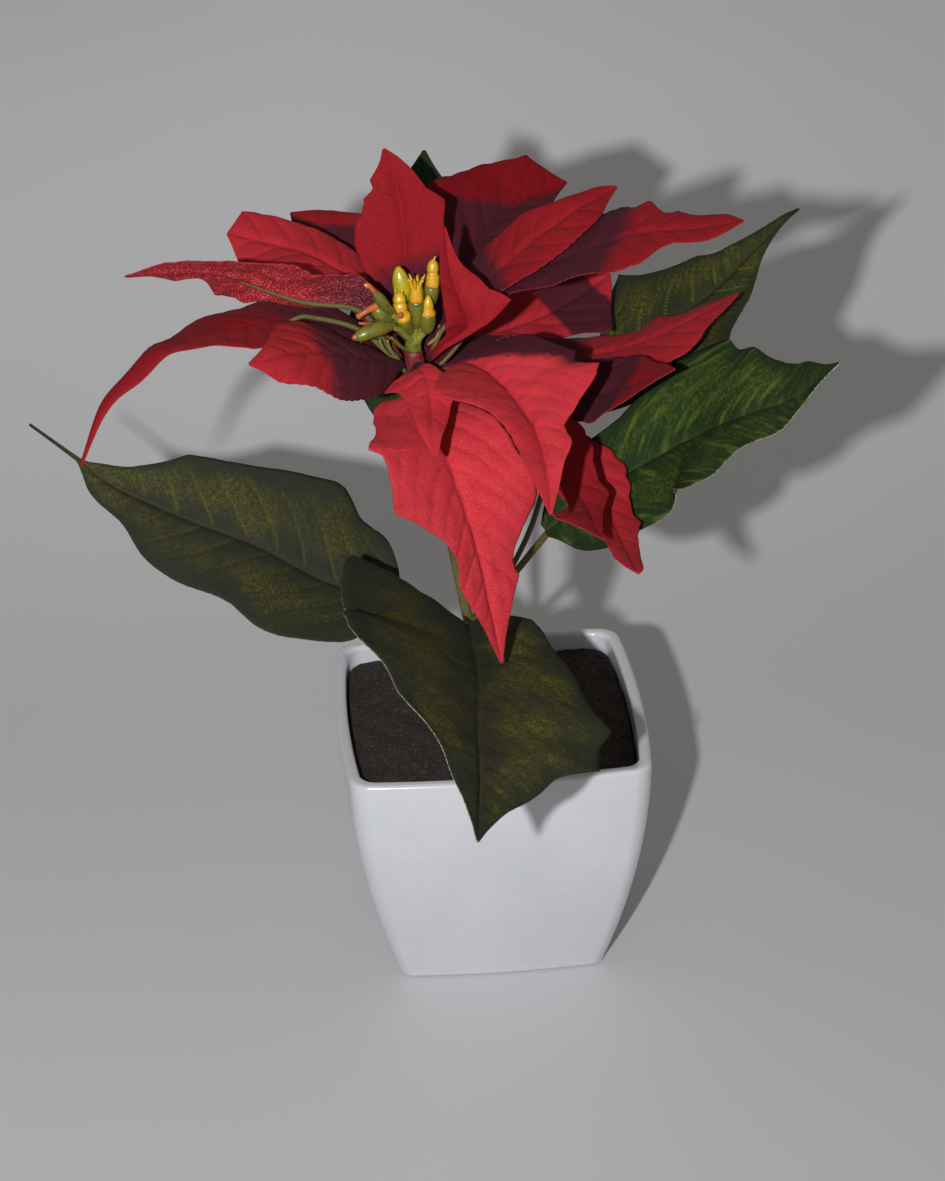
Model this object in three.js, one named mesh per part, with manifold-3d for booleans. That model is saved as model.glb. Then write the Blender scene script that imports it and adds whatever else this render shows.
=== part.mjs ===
// Poinsettia in its pot: an artificial plant with red cloth bracts round a yellow-green centre,
// five dark leaves on one thin stem, and a small white glazed pot filled with dark granular soil.
// Millimetres, +Z up. The origin is the middle of the pot's flat bottom; the pot's sides lie
// along X and Y.
import * as THREE from "three";
import { mergeVertices } from "three/addons/utils/BufferGeometryUtils.js";
import Module from "manifold-3d";

const wasm = await Module();
wasm.setup();

// ---------------------------------------------------------------- driving dimensions

const GAP = 0.4; // clearance between a seated piece and what carries it

const POT = {
  height: 70,
  rimHalf: 42.5, // half width of the rim, side to side
  baseHalf: 29.5, // half width of the foot
  swell: 1.8, // how fast the sides widen above the foot
  corner: 0.11, // corner radius, share of the half width
  bow: 0.05, // outward bow of each side, share of the half width
  wall: 3.3,
  floor: 5,
  lip: 1.2, // rounding of the rim
  foot: 1.5, // rounding under the foot
};

const SOIL = {
  top: 65,
  lump: 0.6, // height of the uneven surface
  hole: 2.3, // radius of the plain hole for the stem
  holeBottom: 25,
};

const STEM = {
  path: [[0, 0, 26], [0, 0, 46], [0, 0, 65], [-2, -2, 80], [-5, -4, 97], [-9, -8, 122], [-12, -11, 147], [-15.5, -13, 162]],
  lower: 1.7, // radius in the soil and up to the collar
  upper: 1.4, // radius above the collar
  collar: 2.4, // radius of the dark joint that the leaf stalks grow from
};

// The boss at the top of the stem. Its axis leans; the bracts are seated round it.
const BOSS = {
  foot: [-16.6, -13.4, 166],
  top: [-18.6, -14.6, 185],
  radius: 2.6,
  seat: 3.75, // distance from the axis to the middle of a bract's stalk
};

// Leaf stalks: points from the collar outwards; the last bit is led into the leaf's own midrib.
const LEAF_STALKS = {
  leaf_left: { path: [[-5, -4, 96], [-13, -3, 101]], radius: 1 },
  leaf_front: { path: [[-5, -4, 95], [-6, -11, 101]], radius: 1 },
  leaf_right: { path: [[-5, -4, 97], [1, -6, 106], [7, -9, 115]], radius: 1 },
  leaf_upper_right: { path: [[-5, -4, 98], [4, -3, 109], [12, -2, 124], [18, -1, 143]], radius: 0.8 },
  leaf_back: { path: [[-5, -4, 98], [-8, 1, 112], [-9, 6, 127]], radius: 0.9 },
};

const BLADE = {
  half: 0.36, // half thickness of the cloth and its moulded backing
  ridge: 1.1, // depth of the rib under the midrib at the stalk
  camber: 0.05, // arch of each half blade, share of its width
  ripple: 0.4, // wave of the margin
  rippleLength: 24,
};

// A margin point followed by TOOTH is a sharp corner of the margin.
const TOOTH = true;

// Every blade is set out along its midrib. rib: points of the midrib from the stalk to the tip;
// face: the way the upper side looks; roll: turn of the blade about the midrib, at even steps
// from stalk to tip; fold: how far each half is lifted into a V, once or at even steps; right
// and left: distance of that margin from the midrib against the share of the midrib's length.
// seat: direction round the boss in degrees and height, where a bract's midrib begins.
const LEAVES = {
  leaf_left: {
    rib: [
      [-24, 0, 105], [-41, 4, 108], [-62, 9, 119], [-76, 13, 124], [-87, 17, 128],
      [-100, 21, 134], [-108, 24, 140], [-121, 26, 151],
    ],
    face: [0.1, -0.6, 1],
    roll: [7, -7, -16],
    fold: 12,
    right: [
      [0, 3], [0.02, 10], [0.06, 17], [0.16, 22], [0.26, 27], [0.33, 25], [0.47, 20],
      [0.61, 17], [0.66, 12], [0.73, 7], [0.79, 4], [0.85, 0.7],
    ],
    left: [
      [0, 3], [0.03, 12], [0.08, 20], [0.15, 23], [0.26, 26], [0.38, 22], [0.48, 21],
      [0.6, 17], [0.7, 9], [0.78, 6], [0.83, 2.5], [0.86, 0.7],
    ],
  },
  leaf_front: {
    rib: [
      [-7, -20, 106], [-7, -38, 112], [-7, -56, 115], [-8, -76, 118], [-10, -98, 119],
      [-12, -124, 119], [-15, -150, 119],
    ],
    face: [0.3, -0.8, 1],
    roll: [20, 10, 0, -12, -22],
    fold: [32, 14, 14, 14, 14],
    right: [
      [0, 1], [0.01, 15], [0.025, 36, TOOTH], [0.1, 38], [0.3, 36], [0.45, 40, TOOTH],
      [0.56, 37], [0.62, 29], [0.7, 25], [0.78, 16], [0.88, 9], [0.96, 3],
    ],
    left: [
      [0, 1], [0.02, 6], [0.12, 14], [0.18, 17], [0.29, 21], [0.4, 25], [0.5, 29],
      [0.55, 33, TOOTH], [0.62, 30], [0.68, 30, TOOTH], [0.73, 19], [0.78, 15], [0.87, 7],
      [0.95, 2.5],
    ],
  },
  leaf_right: {
    rib: [
      [15, -16, 131], [26, -22, 143], [38, -28, 154], [51, -34, 164], [63, -45, 175],
      [74, -52, 182], [84, -61, 195],
    ],
    face: [-0.1, -0.6, 1],
    roll: [28, -4, -22],
    fold: 10,
    right: [
      [0, 2], [0.03, 5], [0.08, 11], [0.15, 15], [0.29, 19], [0.4, 20], [0.48, 19.9],
      [0.54, 21.7], [0.6, 25.4], [0.64, 27.4], [0.69, 24.7], [0.73, 17.5], [0.85, 15, TOOTH],
      [0.88, 11], [0.96, 3],
    ],
    left: [
      [0, 2], [0.05, 6], [0.15, 11], [0.3, 14], [0.44, 20], [0.49, 24], [0.57, 28, TOOTH],
      [0.61, 23], [0.68, 21], [0.73, 17], [0.79, 13, TOOTH], [0.87, 9], [0.95, 3],
    ],
  },
  leaf_upper_right: {
    rib: [
      [21, 0, 155], [35, 9, 165], [54, 16, 176], [65, 20, 182], [74, 24, 189],
      [86, 29, 198], [90, 35, 198],
    ],
    face: [-0.2, -0.6, 1],
    roll: [-6, -24, -6],
    fold: 6,
    right: [
      [0, 2], [0.06, 8], [0.2, 18], [0.35, 25], [0.49, 27], [0.54, 22], [0.64, 14],
      [0.75, 6], [0.83, 2.5], [0.89, 1],
    ],
    left: [
      [0, 2], [0.06, 6], [0.15, 9], [0.27, 11], [0.31, 17], [0.38, 23], [0.45, 28, TOOTH],
      [0.53, 20], [0.66, 14], [0.72, 8], [0.86, 3],
    ],
  },
  leaf_back: {
    rib: [[-9, 8, 139], [-11, 18, 157], [-13, 33, 174], [-12, 40, 197], [-10, 52, 214]],
    face: [0, -1, 0.6],
    roll: [0],
    fold: 8,
    right: [
      [0, 2], [0.08, 8], [0.25, 16], [0.45, 18], [0.65, 15], [0.8, 10], [0.9, 6, TOOTH],
      [0.95, 3],
    ],
    left: [
      [0, 2], [0.08, 10], [0.25, 20], [0.4, 22], [0.6, 17], [0.8, 10], [0.9, 6, TOOTH],
      [0.95, 3],
    ],
  },
};

const BRACTS = {
  bract_upper_1: {
    seat: [95, 182],
    rib: [[-19, -9, 190], [-19, -5, 198], [-19, 0, 209], [-20, 5, 220], [-23, 9, 231]],
    face: [0, -1, 0.4],
    roll: [-4, -7, -7],
    fold: 9,
    right: [
      [0.1, 1.2], [0.25, 6], [0.42, 9.5], [0.61, 11], [0.71, 12, TOOTH], [0.78, 7.5],
      [0.86, 5.5], [0.94, 3],
    ],
    left: [
      [0.1, 1.2], [0.22, 6], [0.37, 10], [0.57, 13], [0.67, 12, TOOTH], [0.72, 10],
      [0.79, 9, TOOTH], [0.84, 6], [0.88, 6, TOOTH], [0.95, 2],
    ],
  },
  bract_upper_2: {
    seat: [22, 182],
    rib: [[-12, -13, 189], [-3, -13, 198], [10, -12, 209], [24, -9, 218], [36, -1, 221]],
    face: [-0.3, -0.6, 1],
    roll: [-31, -21, 7],
    fold: 5,
    right: [[0.12, 1.2], [0.3, 8], [0.49, 12], [0.64, 11], [0.8, 8], [0.92, 3]],
    left: [
      [0.12, 1.2], [0.3, 9], [0.44, 12.5], [0.58, 11], [0.73, 7], [0.85, 4.5], [0.95, 2.5],
    ],
  },
  bract_upper_3: {
    seat: [335, 182],
    rib: [[-12, -24, 189], [-5, -29, 197], [-7, -29, 204], [-9, -24, 210], [-10, -20, 220]],
    face: [-0.3, -1, 0.3],
    roll: [4, 17, 27],
    fold: 14,
    right: [
      [0.12, 1.1], [0.36, 1.3], [0.45, 2.2], [0.49, 6], [0.53, 12, TOOTH], [0.6, 8.5],
      [0.73, 5], [0.85, 2.2],
    ],
    left: [
      [0.12, 1], [0.28, 1.6], [0.4, 5], [0.5, 6.5], [0.6, 5], [0.73, 3.4], [0.85, 2.2],
    ],
  },
  bract_upper_4: {
    seat: [172, 182],
    rib: [
      [-26, -15, 189], [-32, -17, 198], [-47, -21, 203], [-66, -27, 213], [-79, -33, 217],
      [-90, -39, 219],
    ],
    face: [0, 1, 0.25],
    roll: [-13, -16, -16],
    fold: 3,
    right: [
      [0.1, 1.2], [0.35, 3], [0.5, 4.5], [0.55, 8], [0.65, 9, TOOTH], [0.75, 2.5],
      [0.82, 4, TOOTH], [0.93, 1],
    ],
    left: [
      [0.1, 1.2], [0.2, 7], [0.3, 11], [0.48, 11], [0.63, 7.5], [0.77, 4.5], [0.89, 4],
      [0.96, 1.5],
    ],
  },
  bract_upper_5: {
    seat: [222, 182],
    rib: [[-26, -24, 186], [-33, -32, 191], [-46, -43, 198], [-54, -49, 200], [-61, -51, 199]],
    face: [-0.1, -0.4, 1],
    roll: [-31, -12, -15],
    fold: -12,
    right: [
      [0.1, 1.5], [0.2, 7], [0.3, 9], [0.47, 14.5], [0.64, 14], [0.77, 10], [0.84, 7],
      [0.93, 3],
    ],
    left: [
      [0.04, 1.5], [0.1, 3.2], [0.2, 6.6], [0.38, 12], [0.55, 14], [0.79, 10], [0.9, 7],
      [0.96, 2.5],
    ],
  },
  bract_upper_6: {
    seat: [268, 182],
    rib: [[-17, -27, 184], [-16, -35, 184], [-16, -46, 182], [-17, -59, 181], [-17, -68, 179]],
    face: [0, -0.8, 1],
    roll: [23, 7, -7, -7],
    fold: 0,
    right: [
      [0.03, 1.2], [0.08, 4], [0.14, 8.5], [0.21, 11.5], [0.27, 12], [0.36, 8.5], [0.5, 6.5],
      [0.7, 4.5], [0.88, 2],
    ],
    left: [
      [0.06, 1.2], [0.14, 2.6], [0.3, 4.6], [0.44, 7], [0.52, 5], [0.72, 3.5], [0.94, 1.3],
    ],
  },
  bract_middle_1: {
    seat: [62, 178.5],
    rib: [[-12, -5, 187], [-7, 7, 193], [1, 21, 198], [14, 37, 203], [28, 46, 205]],
    face: [0, -0.6, 1],
    roll: [9, 10, 5],
    fold: 16,
    right: [[0.1, 1.2], [0.28, 7], [0.45, 14], [0.7, 13], [0.88, 6], [0.95, 2.5]],
    left: [
      [0.1, 1.2], [0.25, 8], [0.45, 18], [0.59, 20], [0.69, 17], [0.76, 15], [0.86, 11.5],
      [0.91, 11, TOOTH], [0.935, 7.5], [0.97, 3.5],
    ],
  },
  bract_middle_2: {
    seat: [2, 178.5],
    rib: [
      [-9, -14, 184], [4, -16, 201], [21, -20, 210], [38, -29, 219], [53, -35, 222],
      [63, -39, 225],
    ],
    face: [-0.2, -0.5, 1],
    roll: [-13, -18, -15],
    fold: 1,
    right: [
      [0.1, 1.2], [0.3, 5], [0.42, 9], [0.55, 13], [0.63, 14], [0.7, 16], [0.76, 14.5, TOOTH],
      [0.8, 8.5], [0.83, 6], [0.89, 6], [0.96, 3.5],
    ],
    left: [
      [0.1, 1.2], [0.3, 8], [0.48, 15], [0.61, 17], [0.68, 13.5], [0.72, 14, TOOTH],
      [0.78, 8], [0.81, 9, TOOTH], [0.85, 7], [0.95, 4],
    ],
  },
  bract_middle_3: {
    seat: [312, 178.5],
    rib: [
      [-11, -19, 181], [-5, -26, 185], [3, -46, 186], [8, -67, 184], [9, -84, 181],
      [8, -101, 178],
    ],
    face: [0.4, -0.5, 1],
    roll: [23, 13, 20],
    fold: 15,
    right: [
      [0.08, 1.2], [0.2, 9], [0.3, 15], [0.44, 21], [0.5, 18, TOOTH], [0.55, 12], [0.65, 8],
      [0.83, 5], [0.94, 2],
    ],
    left: [
      [0.08, 1.2], [0.18, 9], [0.24, 15], [0.31, 18], [0.37, 21, TOOTH], [0.41, 19],
      [0.46, 23, TOOTH], [0.49, 21, TOOTH], [0.58, 12], [0.65, 7], [0.72, 7.5, TOOTH],
      [0.81, 4], [0.91, 2],
    ],
  },
  bract_middle_4: {
    seat: [140, 178.5],
    rib: [
      [-26, -11, 187], [-31, -4, 198], [-41, 5, 203], [-51, 13, 204], [-64.5, 18, 206.3],
    ],
    face: [0.1, -0.5, 1],
    roll: [42, 22, -2],
    fold: 1,
    right: [
      [0.1, 1.2], [0.26, 2.5], [0.43, 9], [0.51, 11], [0.59, 12], [0.67, 12], [0.81, 10.5],
      [0.98, 9, TOOTH],
    ],
    left: [
      [0.1, 1.2], [0.33, 3], [0.39, 8], [0.53, 10], [0.67, 13], [0.8, 13],
      [0.88, 12.5, TOOTH], [0.96, 4],
    ],
  },
  bract_middle_5: {
    seat: [202, 178.5],
    rib: [
      [-26, -15, 184], [-33, -16, 191], [-48, -20, 197], [-60, -29, 200], [-73, -43, 203],
      [-82, -55, 205], [-92, -62, 200], [-97, -67, 196], [-103, -72, 184],
    ],
    face: [0, -0.6, 1],
    roll: [9, 26, 27],
    fold: -5,
    right: [
      [0.08, 1.2], [0.17, 8], [0.25, 12], [0.45, 13], [0.6, 8], [0.73, 5], [0.8, 2.5],
      [0.85, 2], [0.92, 1],
    ],
    left: [
      [0.08, 1.2], [0.22, 9], [0.4, 13], [0.53, 13, TOOTH], [0.6, 7], [0.63, 6], [0.7, 2],
      [0.78, 4], [0.85, 2],
    ],
  },
  bract_lower_1: {
    seat: [276, 175],
    rib: [
      [-17, -20, 175], [-16, -28, 173], [-14, -39, 171], [-12, -48, 167], [-9, -56, 158],
      [-6, -61, 146], [-4, -65, 134], [-2, -71, 122],
    ],
    face: [0, -1, 0.9],
    roll: [4, -29, -42],
    fold: 9,
    right: [
      [0.04, 1.5], [0.08, 12], [0.15, 15], [0.24, 16.5], [0.34, 22.3, TOOTH], [0.36, 19],
      [0.42, 20], [0.5, 23.6, TOOTH], [0.55, 15.2], [0.6, 10.6], [0.67, 9], [0.73, 10, TOOTH],
      [0.84, 6], [0.94, 2.7],
    ],
    left: [
      [0.04, 1.5], [0.12, 9], [0.28, 16.5], [0.37, 18.5], [0.45, 22], [0.57, 20], [0.62, 16],
      [0.69, 11], [0.72, 9.5], [0.76, 10.5, TOOTH], [0.83, 7], [0.9, 4], [0.97, 1.5],
    ],
  },
  bract_lower_2: {
    seat: [112, 171.5],
    rib: [[-22, -4, 186], [-25, 8, 191], [-32, 22, 198], [-40, 34, 201], [-47, 44, 201]],
    face: [0, -0.5, 1],
    roll: [0],
    fold: 6,
    right: [[0.1, 1.2], [0.3, 9], [0.5, 14], [0.65, 13], [0.8, 8], [0.92, 4]],
    left: [[0.1, 1.2], [0.3, 9], [0.5, 14], [0.65, 13], [0.8, 8], [0.92, 4]],
  },
  bract_lower_3: {
    seat: [8, 175],
    rib: [[-5, -10, 176], [10, -5, 178], [31, -4, 176], [44, -6, 180], [57, -4, 185], [68, -2, 190]],
    face: [0, -0.5, 1],
    roll: [-13, -28, -34],
    fold: -6,
    right: [[0.08, 1.2], [0.2, 4], [0.4, 11], [0.6, 17], [0.7, 15], [0.77, 13], [0.9, 6]],
    left: [
      [0.08, 1.2], [0.2, 6], [0.4, 13], [0.58, 15], [0.77, 14, TOOTH], [0.83, 6],
      [0.9, 6, TOOTH], [0.94, 4],
    ],
  },
  bract_lower_4: {
    seat: [340, 174],
    rib: [
      [-9, -17, 174], [3, -23, 174], [18, -22, 173], [30, -25, 174], [39, -36, 182],
      [45, -46, 189],
    ],
    face: [-0.2, -1, 1],
    roll: [-8, -20, -30],
    fold: 6,
    right: [[0.1, 1.2], [0.3, 6], [0.5, 9], [0.6, 11], [0.75, 9], [0.85, 5], [0.94, 2.5]],
    left: [[0.1, 1.2], [0.3, 7], [0.5, 11], [0.68, 11], [0.82, 6], [0.93, 3]],
  },
  bract_lower_5: {
    seat: [306, 171.5],
    rib: [[-10, -22, 173], [1, -34.6, 171.2], [13, -41, 165.6], [20, -53, 159], [23, -78, 159]],
    face: [0.3, -0.7, 1],
    roll: [0],
    fold: 4,
    right: [
      [0.06, 1.2], [0.2, 3], [0.5, 4], [0.75, 5], [0.88, 12, TOOTH], [0.91, 11.5, TOOTH],
      [0.94, 6],
    ],
    left: [
      [0.06, 1.2], [0.2, 7], [0.33, 12], [0.45, 14], [0.55, 11, TOOTH], [0.63, 7.5],
      [0.7, 8, TOOTH], [0.74, 5.5], [0.8, 3.5], [0.88, 2],
    ],
  },
  bract_lower_6: {
    seat: [318, 168.5],
    rib: [[-8, -18, 168], [3, -20, 163], [18, -28, 155], [27, -42, 150], [30, -60, 149], [31, -84, 152]],
    face: [0.3, -0.7, 1],
    roll: [0],
    fold: 4,
    right: [[0.06, 1.2], [0.3, 6], [0.6, 8], [0.79, 6], [0.9, 5], [0.97, 3]],
    left: [
      [0.06, 1.2], [0.25, 8], [0.43, 14], [0.49, 13, TOOTH], [0.54, 10], [0.6, 7],
      [0.65, 7.5, TOOTH], [0.72, 5], [0.85, 3], [0.96, 2],
    ],
  },
  bract_lower_7: {
    seat: [44, 175],
    rib: [[-3, 5, 177], [3, 16, 174], [21, 23, 176.5], [38, 30, 184]],
    face: [0, -0.4, 1],
    roll: [-15, -12, 3],
    fold: 7,
    right: [
      [0.08, 1.2], [0.3, 7], [0.5, 11], [0.7, 12.5], [0.84, 18, TOOTH], [0.93, 7.5], [0.97, 4],
    ],
    left: [[0.08, 1.2], [0.3, 8], [0.5, 14], [0.7, 13], [0.85, 8], [0.94, 4]],
  },
};

// The small flowers at the centre. path: from the boss outwards; sizes: radius against the
// share of the path's length.
const STALK = [[0, 0.9], [1, 0.8]];
const CUP = [[0, 0.9], [0.2, 1.8], [0.7, 2.1], [1, 1.7]];
const BARREL = [[0, 1.3], [0.2, 2], [0.6, 2.1], [1, 1]];
const BUD = [[0, 1], [0.25, 2.1], [0.6, 1.7], [1, 0.3]];
const CYATHIA = [
  { path: [[-18.5, -14.7, 185.6], [-18.3, -15, 188.2]], sizes: [[0, 2.2], [0.6, 2], [1, 1.6]] },
  { path: [[-18, -15, 187], [-16.5, -15.5, 195]], sizes: [[0, 1.8], [1, 1.6]] },
  { path: [[-18.3, -15.4, 186.5], [-21.5, -19.5, 192], [-24, -22, 194.5]], sizes: STALK },
  { path: [[-23.5, -21.5, 194.5], [-28.5, -24.5, 195], [-33.5, -26, 194]], sizes: [[0, 1], [0.2, 1.9], [0.7, 1.8], [1, 1.2]] },
  { path: [[-18.5, -15.4, 187], [-22, -19, 192], [-25, -20.5, 196]], sizes: STALK },
  { path: [[-24.5, -20.5, 195.5], [-28, -21.5, 198.5], [-30, -21.5, 198], [-33, -21.5, 195]], sizes: [[0, 0.8], [0.3, 2], [0.6, 1.7], [1, 1.2]] },
  { path: [[-18.8, -15, 187], [-21.5, -19.5, 194], [-26, -24, 201], [-30, -26, 208]], sizes: [[0, 0.8], [0.6, 0.9], [0.75, 1.4], [1, 0.4]] },
  { path: [[-18.4, -15.4, 187], [-20.5, -17, 191]], sizes: STALK },
  { path: [[-20.4, -17, 190.5], [-21.3, -17.5, 196]], sizes: CUP },
  { path: [[-21.2, -17.5, 195.5], [-21.8, -17, 201.5]], sizes: BARREL },
  { path: [[-18.4, -14.5, 187], [-20, -13.5, 199]], sizes: STALK },
  { path: [[-19.8, -13.5, 198], [-20.8, -13, 207]], sizes: BUD },
  { path: [[-18, -15.4, 187], [-17.5, -17.5, 194.5]], sizes: STALK },
  { path: [[-17.5, -17.5, 194], [-17.5, -18, 199.5]], sizes: CUP },
  { path: [[-17.5, -18, 199], [-17.3, -18, 205.5]], sizes: BARREL },
  { path: [[-17.8, -14.5, 187], [-14.5, -14, 196]], sizes: STALK },
  { path: [[-14.7, -14, 195.5], [-13, -13.5, 201]], sizes: CUP },
  { path: [[-13, -13.5, 200.5], [-12.5, -12.5, 208]], sizes: BARREL },
  { path: [[-17.8, -15.5, 187], [-15, -17, 191]], sizes: STALK },
  { path: [[-15, -17, 190.5], [-14.6, -17.5, 195]], sizes: CUP },
  { path: [[-14.6, -17.5, 194.5], [-14.4, -17.5, 199.5]], sizes: BARREL },
];

// ---------------------------------------------------------------- finishes

const finish = (color, roughness) => new THREE.MeshStandardMaterial({ color, roughness, metalness: 0 });

const FINISH = {
  pot: finish(0xf2f3f1, 0.15),
  soil: finish(0x28241f, 0.95),
  stem: finish(0x5c6232, 0.5),
  leaf: finish(0x24401f, 0.75),
  bract: finish(0xb5121c, 0.8),
  cyathia: finish(0xb7b632, 0.35),
};

// ---------------------------------------------------------------- closed bodies

// Collects points and triangles of one closed body.
class Shell {
  constructor() {
    this.points = [];
    this.triangles = [];
  }

  add(point) {
    this.points.push(point.x, point.y, point.z);
    return this.points.length / 3 - 1;
  }

  // Two triangles; the corners run counter-clockwise seen from outside.
  quad(a, b, c, d) {
    this.triangles.push(a, b, c, a, c, d);
  }

  // Joins ring to ring, both counter-clockwise about the way from first to second.
  join(first, second) {
    for (let k = 0; k < first.length; k += 1) {
      const next = (k + 1) % first.length;
      this.quad(first[k], first[next], second[next], second[k]);
    }
  }

  // Closes a ring to one point; flip for the end that the rings run towards.
  close(ring, pole, flip) {
    for (let k = 0; k < ring.length; k += 1) {
      const next = (k + 1) % ring.length;
      if (flip) {
        this.triangles.push(ring[k], ring[next], pole);
      } else {
        this.triangles.push(ring[next], ring[k], pole);
      }
    }
  }

  geometry() {
    const geometry = new THREE.BufferGeometry();
    geometry.setAttribute("position", new THREE.Float32BufferAttribute(this.points, 3));
    geometry.setIndex(this.triangles);
    return geometry;
  }
}

const vector = (point) => new THREE.Vector3(point[0], point[1], point[2]);

const curveThrough = (points) => {
  const curve = new THREE.CatmullRomCurve3(points.map(vector));
  curve.arcLengthDivisions = 400;
  return curve;
};

// Straight-line reading of a list of [place, value] pairs.
function reading(table, place) {
  for (let k = 1; k < table.length; k += 1) {
    if (place <= table[k][0]) {
      const share = (place - table[k - 1][0]) / (table[k][0] - table[k - 1][0]);
      return table[k - 1][1] + share * (table[k][1] - table[k - 1][1]);
    }
  }
  return table[table.length - 1][1];
}

// A round bar along a curve, its radius read from sizes, closed by flat ends.
function bar(path, sizes, sides, steps) {
  const curve = curveThrough(path);
  const places = new Set(sizes.map((size) => size[0]));
  for (let k = 0; k <= steps; k += 1) {
    places.add(k / steps);
  }
  const stations = [...places].sort((a, b) => a - b);
  const frames = curve.computeFrenetFrames(200, false);
  const shell = new Shell();
  const rings = stations.map((place) => {
    const centre = curve.getPointAt(place);
    const across = frames.normals[Math.round(place * 200)];
    const beside = frames.binormals[Math.round(place * 200)];
    const radius = reading(sizes, place);
    return Array.from({ length: sides }, (_, k) => {
      const angle = (2 * Math.PI * k) / sides;
      const point = centre.clone();
      point.addScaledVector(across, radius * Math.cos(angle));
      point.addScaledVector(beside, radius * Math.sin(angle));
      return shell.add(point);
    });
  });
  for (let k = 1; k < rings.length; k += 1) {
    shell.join(rings[k - 1], rings[k]);
  }
  shell.close(rings[0], shell.add(curve.getPointAt(0)), false);
  shell.close(rings[rings.length - 1], shell.add(curve.getPointAt(1)), true);
  return shell.geometry();
}

// One body out of several that run into each other.
function fused(geometries) {
  const solids = geometries.map((geometry) => {
    const merged = mergeVertices(geometry, 1e-4);
    return new wasm.Manifold(new wasm.Mesh({
      numProp: 3,
      vertProperties: new Float32Array(merged.attributes.position.array),
      triVerts: new Uint32Array(merged.index.array),
    }));
  });
  const whole = solids.reduce((sum, solid) => sum.add(solid)).getMesh();
  const geometry = new THREE.BufferGeometry();
  const points = new THREE.BufferAttribute(new Float32Array(whole.vertProperties), 3);
  geometry.setAttribute("position", points);
  geometry.setIndex(new THREE.BufferAttribute(new Uint32Array(whole.triVerts), 1));
  return geometry;
}

// ---------------------------------------------------------------- pot and soil

const SIDE_STEPS = 6;
const CORNER_STEPS = 3;

// The pot seen from above with half width 1: bowed sides and round corners.
function planOutline() {
  const flat = 1 - POT.corner;
  const quarter = [];
  for (let k = 0; k < SIDE_STEPS; k += 1) {
    quarter.push([1, flat * ((2 * k) / SIDE_STEPS - 1)]);
  }
  for (let k = 0; k < CORNER_STEPS; k += 1) {
    const angle = (Math.PI * k) / (2 * CORNER_STEPS);
    quarter.push([flat + POT.corner * Math.cos(angle), flat + POT.corner * Math.sin(angle)]);
  }
  const outline = [];
  for (let turn = 0; turn < 4; turn += 1) {
    const cos = Math.round(Math.cos((turn * Math.PI) / 2));
    const sin = Math.round(Math.sin((turn * Math.PI) / 2));
    quarter.forEach(([x, y]) => outline.push([x * cos - y * sin, x * sin + y * cos]));
  }
  return outline.map(([x, y]) => [x * (1 - POT.bow * y * y), y * (1 - POT.bow * x * x)]);
}

const PLAN = planOutline();

// Half width of the outside of the pot at height z.
function potHalf(z) {
  const low = 1 - z / POT.height;
  return POT.baseHalf + (POT.rimHalf - POT.baseHalf) * (1 - low ** POT.swell);
}

// Half width of the inside of the pot at height z.
const insideHalf = (z) => potHalf(z) - POT.wall;

const WALL_LEVELS = [5, 11, 18, 26, 35, 45, 55, 65];

// A body whose rings all follow the plan; the profile runs from the bottom pole round the
// outside to the last pole. shape gives a ring's points from its half width and height.
function planBody(firstPole, profile, lastPole, shape) {
  const shell = new Shell();
  const rings = profile.map(([half, z]) => shape(half, z).map((point) => shell.add(point)));
  for (let k = 1; k < rings.length; k += 1) {
    shell.join(rings[k - 1], rings[k]);
  }
  shell.close(rings[0], shell.add(vector([0, 0, firstPole])), false);
  shell.close(rings[rings.length - 1], shell.add(vector([0, 0, lastPole])), true);
  return shell.geometry();
}

const planRing = (half, z) => PLAN.map(([x, y]) => new THREE.Vector3(half * x, half * y, z));

function pot() {
  const { height, rimHalf, wall, lip, foot, floor } = POT;
  const outside = WALL_LEVELS.map((z) => [potHalf(z), z]);
  const inside = WALL_LEVELS.slice(1).reverse().map((z) => [insideHalf(z), z]);
  const profile = [
    [potHalf(0) - foot, 0],
    [potHalf(foot) - 0.3 * foot, 0.3 * foot],
    [potHalf(foot), foot],
    ...outside,
    [rimHalf, height - lip],
    [rimHalf - 0.3 * lip, height - 0.3 * lip],
    [rimHalf - lip, height],
    [rimHalf - wall + lip, height],
    [rimHalf - wall + 0.3 * lip, height - 0.3 * lip],
    [rimHalf - wall, height - lip],
    ...inside,
    [insideHalf(floor), floor],
  ];
  return planBody(0, profile, floor, planRing);
}

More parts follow.
